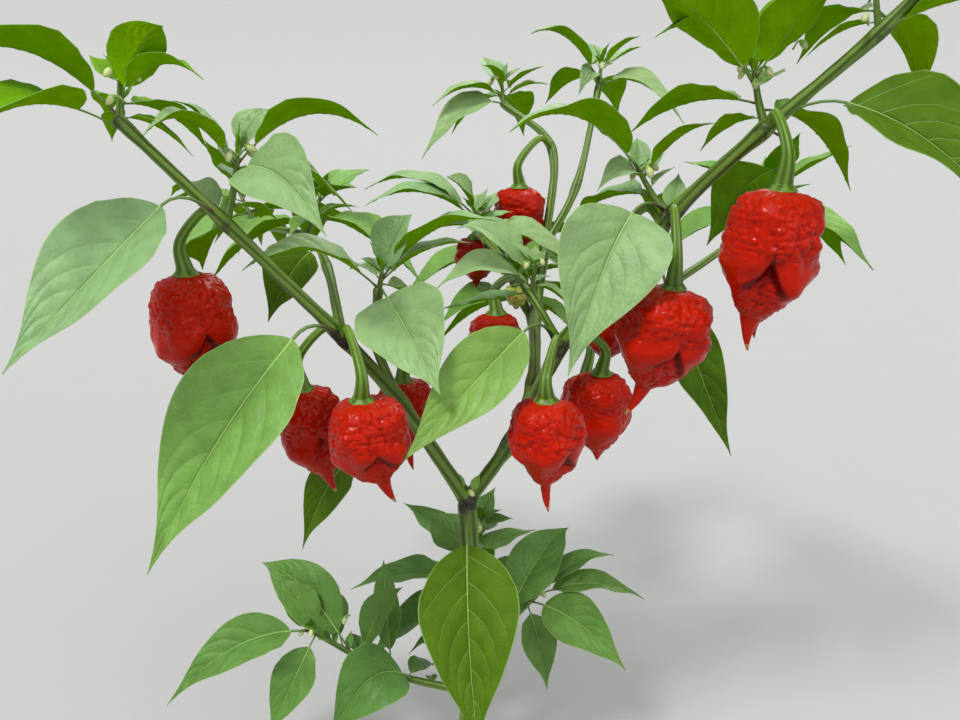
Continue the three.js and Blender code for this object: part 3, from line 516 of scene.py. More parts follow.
class Look:
    """One procedural material."""

    def __init__(self, name, **constants):
        self.material = bpy.data.materials.new(name)
        self.material.use_nodes = True
        self.tree = self.material.node_tree
        self.shader = self.tree.nodes["Principled BSDF"]
        for socket, value in constants.items():
            self.shader.inputs[socket.replace("_", " ")].default_value = value

    def node(self, kind, settings=None, inputs=None, output=0):
        """Adds a node with its settings first, then the values or links of its sockets."""
        made = self.tree.nodes.new(kind)
        for name, value in (settings or {}).items():
            setattr(made, name, value)
        for name, value in (inputs or {}).items():
            self.feed(made.inputs[name], value)
        return Value(self, made.outputs[output])

    def feed(self, socket, value):
        if isinstance(value, Value):
            self.tree.links.new(value.socket, socket)
        else:
            socket.default_value = value

    def math(self, operation, first, second):
        return self.node("ShaderNodeMath", {"operation": operation}, {0: first, 1: second})

    def place(self):
        return self.node("ShaderNodeTexCoord", output="Object")

    def mark(self, name):
        return self.node("ShaderNodeAttribute", {"attribute_name": name}, output="Fac")

    def noise(self, size, detail=2.0):
        """Soft noise with spots about size mm across."""
        inputs = {"Vector": self.place(), "Scale": 1 / (size * MM), "Detail": detail}
        return self.node("ShaderNodeTexNoise", {}, inputs)

    def cells(self, size):
        """The distance to the nearest border between cells about size mm across."""
        inputs = {"Vector": self.place(), "Scale": 1 / (size * MM)}
        return self.node("ShaderNodeTexVoronoi", {"feature": "DISTANCE_TO_EDGE"}, inputs)

    def step(self, value, low, high):
        """0 below low and 1 above high, with a smooth rise between them."""
        settings = {"interpolation_type": "SMOOTHSTEP"}
        inputs = {"Value": value, "From Min": low, "From Max": high}
        return self.node("ShaderNodeMapRange", settings, inputs)

    def mix(self, share, first, second):
        """The colour that is first at a share of 0 and second at a share of 1."""
        inputs = {0: share, 6: first, 7: second}
        return self.node("ShaderNodeMix", {"data_type": "RGBA"}, inputs, output=2)

    def shades(self, share, colour, low, high):
        """A colour at low brightness where share is 0, and at high brightness where it is 1."""
        return self.mix(share, tone(colour, low), tone(colour, high))

    def marked(self, mark, low, high, wander, size, detail=2.0):
        """0 where a mark is below low and 1 where it is above high. The border between them wanders as if
        the mark went up and down by wander in all, in spots about size mm across."""
        return self.step(self.mark(mark) + (self.noise(size, detail) - 0.5) * wander, low, high)

    def colour(self, value):
        self.feed(self.shader.inputs["Base Color"], value)

    def roughness(self, least, more, size):
        """A roughness of least and up to more on top, in spots about size mm across."""
        self.feed(self.shader.inputs["Roughness"], self.noise(size) * more + least)

    def bump(self, height, depth):
        """Relief of up to depth mm."""
        inputs = {"Strength": 1.0, "Distance": depth * MM, "Height": height}
        self.feed(self.shader.inputs["Normal"], self.node("ShaderNodeBump", {}, inputs))


def tone(colour, brightness=1.0):
    return tuple(channel * brightness for channel in colour) + (1.0,)


def between(first, second, share):
    return tuple(lerp(a, b, share) for a, b in zip(first, second))


# Colours, as linear red, green and blue. Each class of leaf, named for its age or the light on it, has one
# colour for the tops of its blades and one for their undersides, and shine is how glossy the tops are. The
# pale tops hold a painted whitish sheen. The young tops and all undersides are saturated greens, partly their
# own colour and partly painted light shining through the blade. The darker shade tops are painted shade on
# leaves in shadow, and the deep class is a darker green for the low shoots.
Age = namedtuple("Age", "top under shine")
AGES_AND_LIGHT = {
    "young": Age((0.125, 0.310, 0.005), (0.150, 0.345, 0.002), 0.06),
    "pale": Age((0.205, 0.355, 0.138), (0.150, 0.345, 0.002), 0.3),
    "mature": Age((0.150, 0.310, 0.060), (0.110, 0.270, 0.002), 0.25),
    "full": Age((0.140, 0.300, 0.050), (0.105, 0.265, 0.002), 0.25),
    "deep": Age((0.090, 0.215, 0.038), (0.080, 0.190, 0.005), 0.25),
    "shade": Age((0.068, 0.150, 0.008), (0.105, 0.240, 0.002), 0.05),
}
RIB_GREEN = (0.480, 0.640, 0.190)
# The lines of a blade, with their share of the ribs' green and their roughness
BLADE_LINES = {"vein": (0.15, 0.42), "margin": (0.3, 0.45), "rib": (0.55, 0.4)}
WARMTH = (1.2, 1.05, 1.0)  # what the warmest blades have of each channel
STALK_GREEN = (0.130, 0.240, 0.050)
STALK_BROWN = (0.090, 0.045, 0.030)
# the bark's crests and grooves: partly its own stripes, partly painted shade in the grooves
BARK_RIDGE = (0.148, 0.245, 0.030)
BARK_GROOVE_SHADE = (0.052, 0.102, 0.009)
BARK_LINE = (0.040, 0.020, 0.022)
BARK_JOINT = (0.022, 0.010, 0.016)
POD_BRIGHT = (0.425, 0.009, 0.001)
# painted shade in a pod's folds and between its pebbles
POD_CREASE_SHADE = (0.115, 0.001, 0.001)
# painted light: a brighter, warmer red on the top of a pod round its cap
POD_SHOULDER_LIGHT = (0.445, 0.014, 0.001)
POD_GLINT = (1.0, 0.1, 0.06)
POD_TIP = (0.42, 0.20, 0.05)
# the stalks' and caps' crests and grooves: partly their own stripes, partly painted shade in the grooves
CAP_RIDGE = (0.145, 0.255, 0.024)
CAP_GROOVE_SHADE = (0.055, 0.125, 0.009)
CAP_RIM = (0.130, 0.225, 0.030)
BUD_GREEN = (0.260, 0.420, 0.090)
BUD_PALE = (0.520, 0.580, 0.240)
UNRIPE = (0.420, 0.500, 0.060)
UNRIPE_SPOT = (0.220, 0.080, 0.020)
FLOOR_GREY = (0.40, 0.40, 0.39)
SKY = (0.9, 0.95, 1.0)


def blade_look(name, colour, net, rough, shine):
    """A blade's face: a soft satin green with a net of fine veins, which is net mm deep."""
    look = Look(name, Specular_IOR_Level=shine)
    mottle = look.step(look.noise(size=9, detail=3.0), low=0.3, high=0.7)
    warm = tuple(channel * more for channel, more in zip(colour, WARMTH))
    plain = look.shades(mottle, colour, low=0.86, high=1.1)
    look.colour(look.mix(look.mark("tint"), plain, look.shades(mottle, warm, low=0.9, high=1.1)))
    look.roughness(least=rough, more=0.12, size=4)
    look.bump(look.step(look.cells(size=2.8), low=0.0, high=0.5) + look.noise(size=0.7) * 0.35, depth=net)
    return look.material


def plain_look(name, colour, rough):
    """A vein, rib or rim, with a faint grain."""
    look = Look(name, Specular_IOR_Level=0.4)
    look.colour(look.shades(look.noise(size=2.5), colour, low=0.86, high=1.14))
    look.roughness(least=rough, more=0.1, size=1.5)
    look.bump(look.noise(size=0.6), depth=0.04)
    return look.material


def petiole_look():
    """A leaf's stalk, green and browner where it grows from its joint."""
    look = Look("leaf_stalk", Specular_IOR_Level=0.4)
    brown = look.marked("root", low=0.35, high=1.0, wander=0.5, size=3, detail=3.0)
    look.colour(look.mix(brown, tone(STALK_GREEN), tone(STALK_BROWN)))
    look.roughness(least=0.4, more=0.1, size=1.5)
    look.bump(look.noise(size=0.6), depth=0.05)
    return look.material


def ribbed_look(name, groove, crest, dark):
    """A green ribbed skin: pale crests and dark grooves, partly its own stripes and partly painted shade in
    the grooves, with thin purple lines and dark joints.
    """
    look = Look(name, Specular_IOR_Level=0.35)
    crested = look.marked("ridge", low=0.1, high=0.95, wander=0.3, size=3)
    # crests against grooves: partly the skin's own stripes, partly painted shade in the grooves
    green = look.mix(crested, tone(groove), tone(crest))
    line = look.marked("line", low=0.75, high=1.05, wander=0.8, size=6, detail=3.0)
    lined = look.mix(line * dark, green, tone(BARK_LINE))
    patch = look.marked("joint", low=0.6, high=1.2, wander=1.6, size=4, detail=4.0)
    look.colour(look.mix(patch * dark, lined, tone(BARK_JOINT)))
    look.roughness(least=0.3, more=0.2, size=2)
    look.bump(look.noise(size=1.2, detail=4.0) + look.noise(size=0.4) * 0.4, depth=0.1)
    return look.material


def pod_look(name, brightness):
    """A ripe pod's skin: wet-looking red, with painted shade in its folds and between its pebbles, and
    painted light, a brighter and warmer red, on its top round the cap.
    """
    coat = {"Coat_Weight": 0.2, "Coat_Roughness": 0.07, "Coat_IOR": 1.5}
    look = Look(name, Specular_IOR_Level=0.12, Specular_Tint=tone(POD_GLINT), **coat)
    # painted shade in the folds and between the pebbles
    shade = look.marked("crease", low=0.15, high=1.0, wander=0.4, size=6, detail=3.0)
    red = look.mix(shade, tone(POD_BRIGHT, brightness), tone(POD_CREASE_SHADE, brightness))
    # painted light on the pod's top round its cap
    look.colour(look.mix(look.mark("shoulder"), red, tone(POD_SHOULDER_LIGHT, brightness)))
    look.roughness(least=0.26, more=0.12, size=3)
    look.bump(look.noise(size=1.3, detail=3.0) + look.noise(size=0.5) * 0.3, depth=0.3)
    return look.material


def unripe_look():
    """The young pod's skin: yellow-green with a few purple-brown spots."""
    look = Look("pod_unripe", Coat_Weight=0.2, Coat_Roughness=0.15, Specular_IOR_Level=0.45)
    spotted = look.step(look.noise(size=5), low=0.56, high=0.66)
    look.colour(look.mix(spotted, tone(UNRIPE), tone(UNRIPE_SPOT)))
    look.roughness(least=0.3, more=0.1, size=3)
    look.bump(look.noise(size=1.4, detail=3.0), depth=0.15)
    return look.material


def floor_look():
    look = Look("floor", Roughness=0.9, Specular_IOR_Level=0.1)
    look.colour(look.shades(look.noise(size=60), FLOOR_GREY, low=0.99, high=1.01))
    return look.material


# The stem and the limbs
RIDGES = 5
RIDGE_DEPTH = 0.085  # as a share of the radius
RIDGE_TWIST = 0.012  # radians for each mm
RIDGE_DENT = 0.3  # how far each ridge is dented along its crest
BARK_GRAIN = 0.02  # unevenness, as a share of the radius
BARK_GRAIN_SIZE = 5
LINE_POWER = 4  # thins the purple lines in the grooves
BARK_MARKS = ("ridge", "line", "joint")
JOINT_PATCH = 3.4  # how far in mm a joint's dark patch reaches over the skin
DARK_JOINTS = {"left2": 1.6, "fork": 1.2, "right1": 1.1, "right2": 1.1}
DARKNESS = 0.8  # of the other joints
STEM_STEPS = 140
STEM_HEAD = 3  # how far the stem runs on above the fork
STEM_ROUNDING = 6  # how far down from its end its head is rounded
STEM_HEAD_SHARE = 0.15  # of its area is left at the end
STEM_NODES = ("ankle", "knee", "shin")
STEM_NODE_SWELL = 0.1
STEM_NODE_SPREAD = 5
LIMB_CAP = np.array([0.35, 0.65, 0.85, 0.97])  # the rows of a limb's rounded end
LIMB_CAP_LENGTH = 0.8  # as a share of the radius


def bark_skin(skins, points, radii, joints, seed, wrap):
    """A ribbed skin round a line, with the marks that its look reads. wrap lays the rings round the line."""
    length = np.concatenate([[0], np.cumsum(np.linalg.norm(np.diff(points, axis=0), axis=1))])[:, None]
    swing = RIDGES * (side_angles(BARK_SIDES) + RIDGE_TWIST * length) + seed
    ridge = 0.5 + 0.5 * np.cos(swing) - RIDGE_DENT * np.cos(2 * swing)
    line = 0.5 - 0.5 * np.cos(swing)
    rough = ripples(wrap(points, even(radii, BARK_SIDES)), BARK_GRAIN_SIZE, seed)
    rings = wrap(points, radii[:, None] * (1 + RIDGE_DEPTH * (ridge - 0.5) + BARK_GRAIN * rough))
    patches = []
    for joint in joints:
        apart = np.linalg.norm(rings - spot(joint), axis=-1) - radii[:, None]
        patches.append(DARK_JOINTS.get(joint, DARKNESS) * hill(np.maximum(apart, 0), JOINT_PATCH))
    skins.add(rings, ridge=ridge, line=line**LINE_POWER, joint=np.max(patches, axis=0))


def limb_line(limb, steps):
    """The points and radii of a limb's line, with so many steps to each stretch between two joints."""
    spans = len(limb.through) - 1
    shares = np.arange(spans * steps + 1) / (spans * steps)
    apart = shares * spans - np.round(shares * spans)
    radii = lerp(limb.first, limb.last, shares) * (1 + JOINT_SWELL * hill(apart, JOINT_SPREAD))
    return line_points(limb.through, spans * steps), radii


def stem_radius(height):
    taper = lerp(FOOT_RADIUS, FORK_RADIUS, height / FORK_HEIGHT)
    return taper + (FLARE_RADIUS - FOOT_RADIUS) * np.exp(-height / FLARE_HEIGHT)


def make_stem(bark):
    """The main stem, with its root flare on the ground and a rounded head under the fork."""
    heights = np.linspace(0, FORK_HEIGHT + STEM_HEAD, STEM_STEPS + 1)
    shares = np.minimum(1, heights / FORK_HEIGHT)
    points = np.array([line_point(("ground", "knee", "fork"), share) for share in shares])
    points[:, 2] = heights
    radii = stem_radius(heights)
    for node in STEM_NODES:
        radii = radii * (1 + STEM_NODE_SWELL * hill(heights - JOINTS[node][2], STEM_NODE_SPREAD))
    radii *= np.sqrt(np.clip((heights[-1] + 1 - heights) / STEM_ROUNDING, STEM_HEAD_SHARE, 1))
    skins = Skins(*BARK_MARKS)
    skins.nodes.add("stem")
    bark_skin(skins, points, radii, (*STEM_NODES, "fork"), 1, level_tube)
    skins.build("bark_stem", "stem_bark", [bark])


def make_limbs(bark):
    """Each limb, from inside what it grows from to a rounded end just past its last joint."""
    for index, limb in enumerate(LIMBS):
        spans = len(limb.through) - 1
        reach = sum(np.linalg.norm(spot(b) - spot(a)) for a, b in zip(limb.through, limb.through[1:]))
        points, radii = limb_line(limb, int(reach / spans / BARK_STEP))
        onward = unit(points[-1] - points[-2])
        points = np.vstack([points, points[-1] + onward * radii[-1] * LIMB_CAP[:, None] * LIMB_CAP_LENGTH])
        radii = np.concatenate([radii, radii[-1] * np.sqrt(1 - LIMB_CAP**2)])
        skins = Skins(*BARK_MARKS)
        skins.nodes.add(limb.name)
        bark_skin(skins, points, radii, limb.through, index + 2, tube)
        skins.build(limb.name.replace("limb", "bark"), "stem_bark", [bark])


# The pods. Their outline has the half width at shares of the length, and how much wider a blunt pod is there.
POD_PROFILE = (
    (0, 0.3, 0), (0.02, 0.52, 0), (0.08, 0.8, 0), (0.2, 0.97, 0), (0.38, 1, 0),
    (0.58, 0.94, 0.06), (0.75, 0.77, 0.18), (0.9, 0.47, 0.3), (1, 0.17, 0.2),
)
PROFILE_STEPS = 400
SOFTENING = 8  # steps to each side that the outline's corners are rounded over
SOFTENING_ROUNDS = 3
ROW_EASE = 0.9  # sets a pod's rows a little closer towards its tail
TAIL_CURVE = 0.6  # how soon the body has narrowed to its tail


def pod_stalk_line(pod):
    """The places that a pod's stalk passes, from its root over the top and down to the shoulder."""
    root, top = spot(pod.root), spot(pod.hang)
    over = lerp(root, top, POD_STALK_TOP)
    over[2] = root[2] + pod.arch
    drop = lerp(root, top, POD_STALK_SWING)
    drop[2] = (over[2] + top[2]) / 2
    return pod.root, over, drop, pod.hang


def pod_point(pod, distance):
    """The point a distance below a pod's shoulder."""
    drift = pod.lean * distance * (0.5 + 0.5 * distance / pod.long)
    return spot(pod.hang) + np.array([drift, 0, -distance])


CLEFTS = ((0, 1.0), (118, 0.75), (-124, 0.85))  # turns of the folds from the deepest one, and their strength
CLEFT_WIDTH = 0.42  # radians to each side
GROOVE_DEPTH = 0.07  # of the groove down each fold, as a share of a pod's radius
GROOVE_WIDTH = 0.3
GROOVE_REACH = (0.1, 0.5)  # from where it starts, down a pod, to where it is fully deep
SHARP_NOTCH = (0.05, 0.45)  # how near a fold a lobe's end turns from soft to sharp
END_LENGTHS = (0.2, 0.055)  # of a soft and a sharp end, as shares of a pod's length
LOBE_FOOT = 0.80  # where the lobes end between two folds, as a share of a pod's length
CLEFT_RISE = 0.27  # how much higher they end at a fold
LOBE_STEP = 0.17  # how much narrower a pod is below its lobes, as a share of its radius
SOFT_STEP = 0.6  # of that, between two folds
STEP_FADE = 0.55  # how much of it is made up again near the tail
STEP_FADE_START = 0.85
LOBE_BULGE = 0.07  # how far a lobe swells above its end
BULGE_RISE = 0.12
BULGE_LENGTH = 0.11
FOLD_DROP = 0.03  # how far below a lobe's end its line of painted shade lies
FOLD_LENGTH = 0.035
GROOVE_SHADE = 0.4  # how dark the painted shade is in the groove down each fold
SHADE_REACH = (0.3, 0.6)
LOBE_WANDER = 0.022  # how far a lobe's end wanders up and down, over WANDER_SIZE mm
WANDER_SIZE = 8
SWELLS = ((0.7, 8), (0.2, 3.6))  # height and size in mm of the soft swellings
SWELL_POWER = 1.3  # fades them out where a pod is narrow
PEBBLE = 0.75  # height in mm of the pebbles on a pod's skin
PEBBLE_SIZE = 2.6
FINE_PEBBLE_SIZE = 1.5
PEBBLE_MEAN = 0.85  # of both sizes together
POD_RIB_SIZE = 2.4
POD_RIB_STRETCH = np.array([1.3, 1.3, 0.4])  # squeezes ripples into ribs that run down from the cap
WRINKLE_SIZE = 3.2
WRINKLE_STRETCH = np.array([0.75, 0.75, 1.5])  # and into wrinkles that run round a pod
PLATE_MEAN = 0.55  # of ribs or wrinkles
POD_RIB_REACH = (0.1, 0.4)  # down a pod, where the ribs give way to wrinkles
PEBBLE_REACH = (0.4, 0.62)  # and where its sides turn smooth
SMOOTH_SHARE = 0.12  # of the relief that is left there
BELOW_SHARE = 0.8  # of it below the lobes
GRAIN_WIDTHS = (0.15, 0.6)  # of a pod's width, where the pebbles are low to where they are full
GRAIN_START = 0.05  # of its length, with low pebbles under the cap
POD_TIP_START = 0.75  # of the tail, where its dry tip starts
CREASE_GRAIN = (-0.8, 0.0)  # height of the grain, from the darkest painted shade between the pebbles to none
# how dark the painted shade between the pebbles is
CREASE_SHADE = 0.6
# how far down from the cap the painted light on a pod's top reaches, and how strong it is
SHOULDER_REACH = (0.02, 0.22)
SHOULDER_LIGHT = 0.55
POD_SEED = 40
POD_SEEDS = 7  # for each pod


def pod_body(pod, rows):
    """The distances down a pod's body and tail, with the radius at each."""
    end = pod.long + CALYX_HEIGHT
    body = np.linspace(0, 1, rows) ** ROW_EASE
    shares, widths, fuller = np.array(POD_PROFILE).T
    fine = np.linspace(0, 1, PROFILE_STEPS + 1)
    profile = np.interp(fine, shares, widths + fuller * pod.blunt)
    window = 2 * SOFTENING + 1
    for _ in range(SOFTENING_ROUNDS):
        padded = np.pad(profile, SOFTENING, mode="edge")
        profile[1:-1] = np.convolve(padded, np.ones(window) / window, "valid")[1:-1]
    radii = (pod.wide / 2) * np.interp(body, fine, profile)
    tail = (np.arange(POD_TAIL_ROWS) + 1) / POD_TAIL_ROWS
    narrow = pod.wide * POD_TAIL
    tail_radii = lerp(radii[-1], narrow, np.minimum(1, tail * 2) ** TAIL_CURVE)
    tail_radii = np.where(tail > 0.5, lerp(narrow, POD_TIP_RADIUS, tail * 2 - 1), tail_radii)
    distances = np.concatenate([CALYX_HEIGHT / 2 + body * pod.long, end + tail * pod.tail])
    return distances, np.concatenate([radii, tail_radii])


def pod_lobes(pod, turns, share, wander):
    """How a pod's lobes swell and end: the change of its radius, how much painted shade each point gets in
    the folds, and how far it is below the lobes. wander moves the lobes' ends a little."""
    change = 0.0
    notch = np.zeros_like(turns)
    for offset, strength in CLEFTS:
        beside = np.abs((turns - math.radians(pod.cleft + offset) + math.pi) % (2 * math.pi) - math.pi)
        notch = np.maximum(notch, strength * np.exp(-beside / CLEFT_WIDTH))
        groove = hill(beside, GROOVE_WIDTH) * smooth(*GROOVE_REACH, share)
        change = change - GROOVE_DEPTH * strength * groove
    border = LOBE_FOOT - CLEFT_RISE * notch + wander
    sharp = smooth(*SHARP_NOTCH, notch)
    below = smooth(border, border + lerp(*END_LENGTHS, sharp), share)
    bulge = hill(share - border + BULGE_RISE, BULGE_LENGTH) * (1 - below)
    step = below * (1 - STEP_FADE * smooth(STEP_FADE_START, 1, share)) * lerp(SOFT_STEP, 1, sharp)
    change = change + LOBE_BULGE * bulge - LOBE_STEP * step
    # painted shade along the line below each lobe's end and down the grooves of the folds
    fold = sharp * hill(share - border - FOLD_DROP, FOLD_LENGTH)
    fold = fold + GROOVE_SHADE * notch**2 * smooth(*SHADE_REACH, share)
    return change * pod.deep, fold * pod.deep, below


def plates(field):
    """Flat-topped plates with narrow creases between them, where the field passes 0."""
    return np.tanh(np.abs(field))


def pod_grain(places, share, seed):
    """The fine relief of a pod's skin: pebbles all over, ribs near its cap and wrinkles further down."""
    pebbles = plates(ripples(places, PEBBLE_SIZE, seed))
    pebbles = pebbles + 0.5 * plates(ripples(places, FINE_PEBBLE_SIZE, seed + 1))
    ribs = plates(ripples(places * POD_RIB_STRETCH, POD_RIB_SIZE, seed + 2))
    wrinkles = plates(ripples(places * WRINKLE_STRETCH, WRINKLE_SIZE, seed + 6))
    near_cap = 1 - smooth(*POD_RIB_REACH, share)
    lines = near_cap * (ribs - PLATE_MEAN) + (1 - near_cap) * (wrinkles - PLATE_MEAN)
    return pebbles + lines - PEBBLE_MEAN


def pod_skin(skins, pod, index, side):
    """A pod's body with its lobes, folds, pebbles and tail."""
    distances, radii = pod_body(pod, POD_ROWS[side])
    end = pod.long + CALYX_HEIGHT
    points = np.array([pod_point(pod, distance) for distance in distances])
    points[:, 0] += pod.bend * np.clip((distances - end) / pod.tail, 0, 1) ** 2
    plain = tube(points, even(radii, POD_SIDES[side]))
    away = plain - points[:, None]
    share = np.clip(distances / pod.long, 0, 1)[:, None]
    on_body = np.where(distances > end, 0, 1)[:, None]
    seed = POD_SEED + POD_SEEDS * index
    wander = LOBE_WANDER * ripples(plain, WANDER_SIZE, seed + 5)
    change, fold, below = pod_lobes(pod, np.arctan2(away[..., 1], away[..., 0]), share, wander)
    rings = points[:, None] + away * (1 + on_body * change)[..., None]

    grain = pod_grain(plain, share, seed)
    rough = np.maximum(1 - smooth(*PEBBLE_REACH, share), BELOW_SHARE * below)
    rough = lerp(SMOOTH_SHARE, 1, rough)
    swell = sum(high * ripples(plain, size, seed + 3 + k) for k, (high, size) in enumerate(SWELLS))
    full = np.clip(radii[:, None] / (pod.wide / 2), 0, 1)
    grained = rough * on_body * smooth(*GRAIN_WIDTHS, full) * smooth(0, GRAIN_START, share)
    relief = swell * full**SWELL_POWER + PEBBLE * grain * grained
    slope = np.gradient(radii, distances)
    rings = rings + unit(unit(away) + UP * slope[:, None, None]) * relief[..., None]

    tips = np.where(distances[:-1] > end + POD_TIP_START * pod.tail, 1, 0)[:, None]
    # painted shade in the folds and between the pebbles
    painted_shade = np.clip(fold + CREASE_SHADE * (1 - smooth(*CREASE_GRAIN, grain)) * rough, 0, 1)
    # painted light on the top of the pod round its cap
    shoulder = SHOULDER_LIGHT * (1 - smooth(*SHOULDER_REACH, share)) * on_body
    skins.add(rings, slots=tips, crease=painted_shade * on_body, shoulder=shoulder)


STALK_RIDGES = 6
STALK_RIDGE_DEPTH = 0.07
STALK_FOOT_SWELL = 0.3  # where it leaves its joint
STALK_FOOT_SPREAD = 0.05
STALK_END = 0.97  # of its line, where the cap takes over
STALK_BAND = 0.3  # of its rows, where it is palest
STALK_BAND_SPREAD = 0.2
STALK_JOINT_ROWS = 2.5  # that its dark foot reaches over
CAP_TEETH = 7
CAP_TOOTH = 0.045  # as a share of the cap's radius
CAP_RIDGE_DEPTH = 0.05
STALK_SIDES = 42
STALK_ROWS = 30
CAP_RINGS = (
    (-1.3, 3.5), (-0.8, 3.9), (-0.2, 4.45), (0.3, 4.85), (0.65, 5.15), (0.9, 5.2), (1.0, 5.0), (0.9, 4.4),
)
RIM_RADII = (3.6, 5)  # from the ribbed middle of the cap to its scalloped rim
RIM_ROWS = 5  # of the cap, with the rim's finish


def pod_stalk_skin(skins, pod, index, size=1):
    """A pod's ribbed stalk, which flares into its cap with a thin scalloped rim."""
    angles = side_angles(STALK_SIDES)
    shares = np.linspace(0, STALK_END, STALK_ROWS)
    places = pod_stalk_line(pod)
    stalk_points = np.array([line_point(places, share) for share in shares])
    stalk_radii = POD_STALK_RADIUS * (1 + POD_STALK_FLARE * shares**3)
    stalk_radii = stalk_radii * (1 + STALK_FOOT_SWELL * hill(shares, STALK_FOOT_SPREAD))
    ribs = np.cos(STALK_RIDGES * angles + index)
    stalk = tube(stalk_points, size * stalk_radii[:, None] * (1 + STALK_RIDGE_DEPTH * ribs))
    across = unit(frames_along(stalk_points)[0][-1:] * np.array([1, 1, 0]))
    depths, cap_radii = np.array(CAP_RINGS).T
    cap_points = np.array([pod_point(pod, size * depth) for depth in depths])
    to_rim = smooth(*RIM_RADII, cap_radii)[:, None]
    scallop = 1 + CAP_TOOTH * np.cos(CAP_TEETH * angles + 2 * index) * to_rim
    fading = CAP_RIDGE_DEPTH * ribs * (1 - to_rim)
    cap = around(cap_points, size * cap_radii[:, None] * (scallop + fading), across, np.cross(-UP, across))
    rings = np.concatenate([stalk, cap])
    rows = np.arange(len(rings))[:, None]
    slots = np.where(rows[:-1] >= len(rings) - RIM_ROWS, 1, 0)
    ridge = 0.5 + 0.5 * ribs + 0.5 * hill(rows / STALK_ROWS - STALK_BAND, STALK_BAND_SPREAD)
    skins.add(rings, slots=slots, ridge=ridge, joint=hill(rows, STALK_JOINT_ROWS))


def make_pods():
    """The ripe pods in three pieces, the young one, and all their stalks."""
    looks = {
        "left": pod_look("pod_red", brightness=1),
        "right": pod_look("pod_scarlet", brightness=1.04),
        "back": pod_look("pod_deep", brightness=0.9),
    }
    groups = {side: Skins("crease", "shoulder") for side in looks}
    stalks = Skins(*BARK_MARKS)
    sides = {name: side for side, names in FRONT_PODS.items() for name in names}
    for index, pod in enumerate(PODS):
        side = sides.get(pod.name, "back")
        pod_skin(groups[side], pod, index, side)
        pod_stalk_skin(stalks, pod, index)
        groups[side].nodes.add(pod.name)
        stalks.nodes.add(pod.name)
    unripe = Skins("crease", "shoulder")
    pod_skin(unripe, UNRIPE_POD, len(PODS), "back")
    pod_stalk_skin(stalks, UNRIPE_POD, len(PODS), UNRIPE_CAP)
    tip = plain_look("pod_tip", POD_TIP, rough=0.5)
    for side, skins in groups.items():
        skins.build(f"pods_{side}", "pod_skin", [looks[side], tip])
    unripe.build(UNRIPE_POD.name, "pod_skin", [unripe_look(), tip])
    ribbed = ribbed_look("pod_stalk", CAP_GROOVE_SHADE, CAP_RIDGE, dark=0.7)
    stalks.build("pod_stalks", "stem_bark", [ribbed, plain_look("cap_rim", CAP_RIM, rough=0.45)])


# The leaves. at is where a leaf's line starts, and stalk is the way to the blade's foot, or None on a shoot.
Leaf = namedtuple("Leaf", "at turn rise long wide arch tilt stalk age")


# A blade's outline in the source: the first power sets where it is widest, the rest how it narrows from there
WIDEST_POWER = 0.68
NARROWING = 0.45
NARROWING_POWER = 2.5


def blade_outline(share):
    """A blade's width at a share of its length, as a share of the most, by the source's formula."""
    return np.sin(math.pi * share**WIDEST_POWER) * (1 - NARROWING * share**NARROWING_POWER)


def fine_outline(share):
    """The blade's outline with its tip drawn out."""
    return blade_outline(share) * (1 - TIP_PINCH * smooth(TIP_START, 1, share))


def blade_points(leaf, share):
    """Points of a blade's arched line, and the directions along it, at shares of the whole arch."""
    foot = leaf.at if leaf.stalk is None else leaf.at + leaf.stalk
    share = np.asarray(share, dtype=float)[..., None]
    reach = heading(leaf.turn, leaf.rise) * leaf.long
    points = foot + reach * share + UP * (2 * share * (1 - share) * leaf.arch)
    return points, unit(reach + UP * (2 * (1 - 2 * share) * leaf.arch))


def leaf_point(leaf, share):
    """The point at a share of a leaf's line, stalk and all."""
    if leaf.stalk is None:
        return blade_points(leaf, share)[0]
    if share >= BIG_STALK:
        return blade_points(leaf, (share - BIG_STALK) / (1 - BIG_STALK))[0]
    foot = leaf.at + leaf.stalk
    onward = unit(blade_points(leaf, NEAR_FOOT)[0] - foot)
    bend = foot - onward * (0.5 * np.linalg.norm(leaf.stalk))
    w = share / BIG_STALK
    return (1 - w) ** 2 * leaf.at + 2 * w * (1 - w) * bend + w**2 * foot


def leaf_room(leaf):
    """The room along a leaf's blade, as points and radii."""
    points = [leaf_point(leaf, share) for share in SPOT_SHARES]
    widths = [leaf.wide * SPOT_WIDTH * blade_outline(share) for share in SPOT_SHARES]
    radii = [width if share > SMALL_STALK else STALK_ROOM for share, width in zip(SPOT_SHARES, widths)]
    return np.array(points), np.array(radii)


def pod_room(pod):
    """The room down a pod from the bend of its stalk to its tip."""
    places = pod_stalk_line(pod)
    points = [line_point(places, share) for share in STALK_SPOTS]
    points += [pod_point(pod, share * pod.long) for share, _ in POD_SPOTS]
    radii = [CALYX_RADIUS] * len(STALK_SPOTS) + [pod.wide / part for _, part in POD_SPOTS]
    return np.array(points), np.array(radii)


def shoot_places(shoot):
    root, crown = spot(shoot.root), spot(shoot.crown)
    bend = lerp(root, crown, 0.5) - UP * (TWIG_SAG * np.linalg.norm(crown - root))
    return root, bend, crown


def placed_leaves(shoot):
    places = shoot_places(shoot)
    return [Leaf(line_point(places, share), *rest, None, shoot.age) for share, *rest in shoot.leaves]


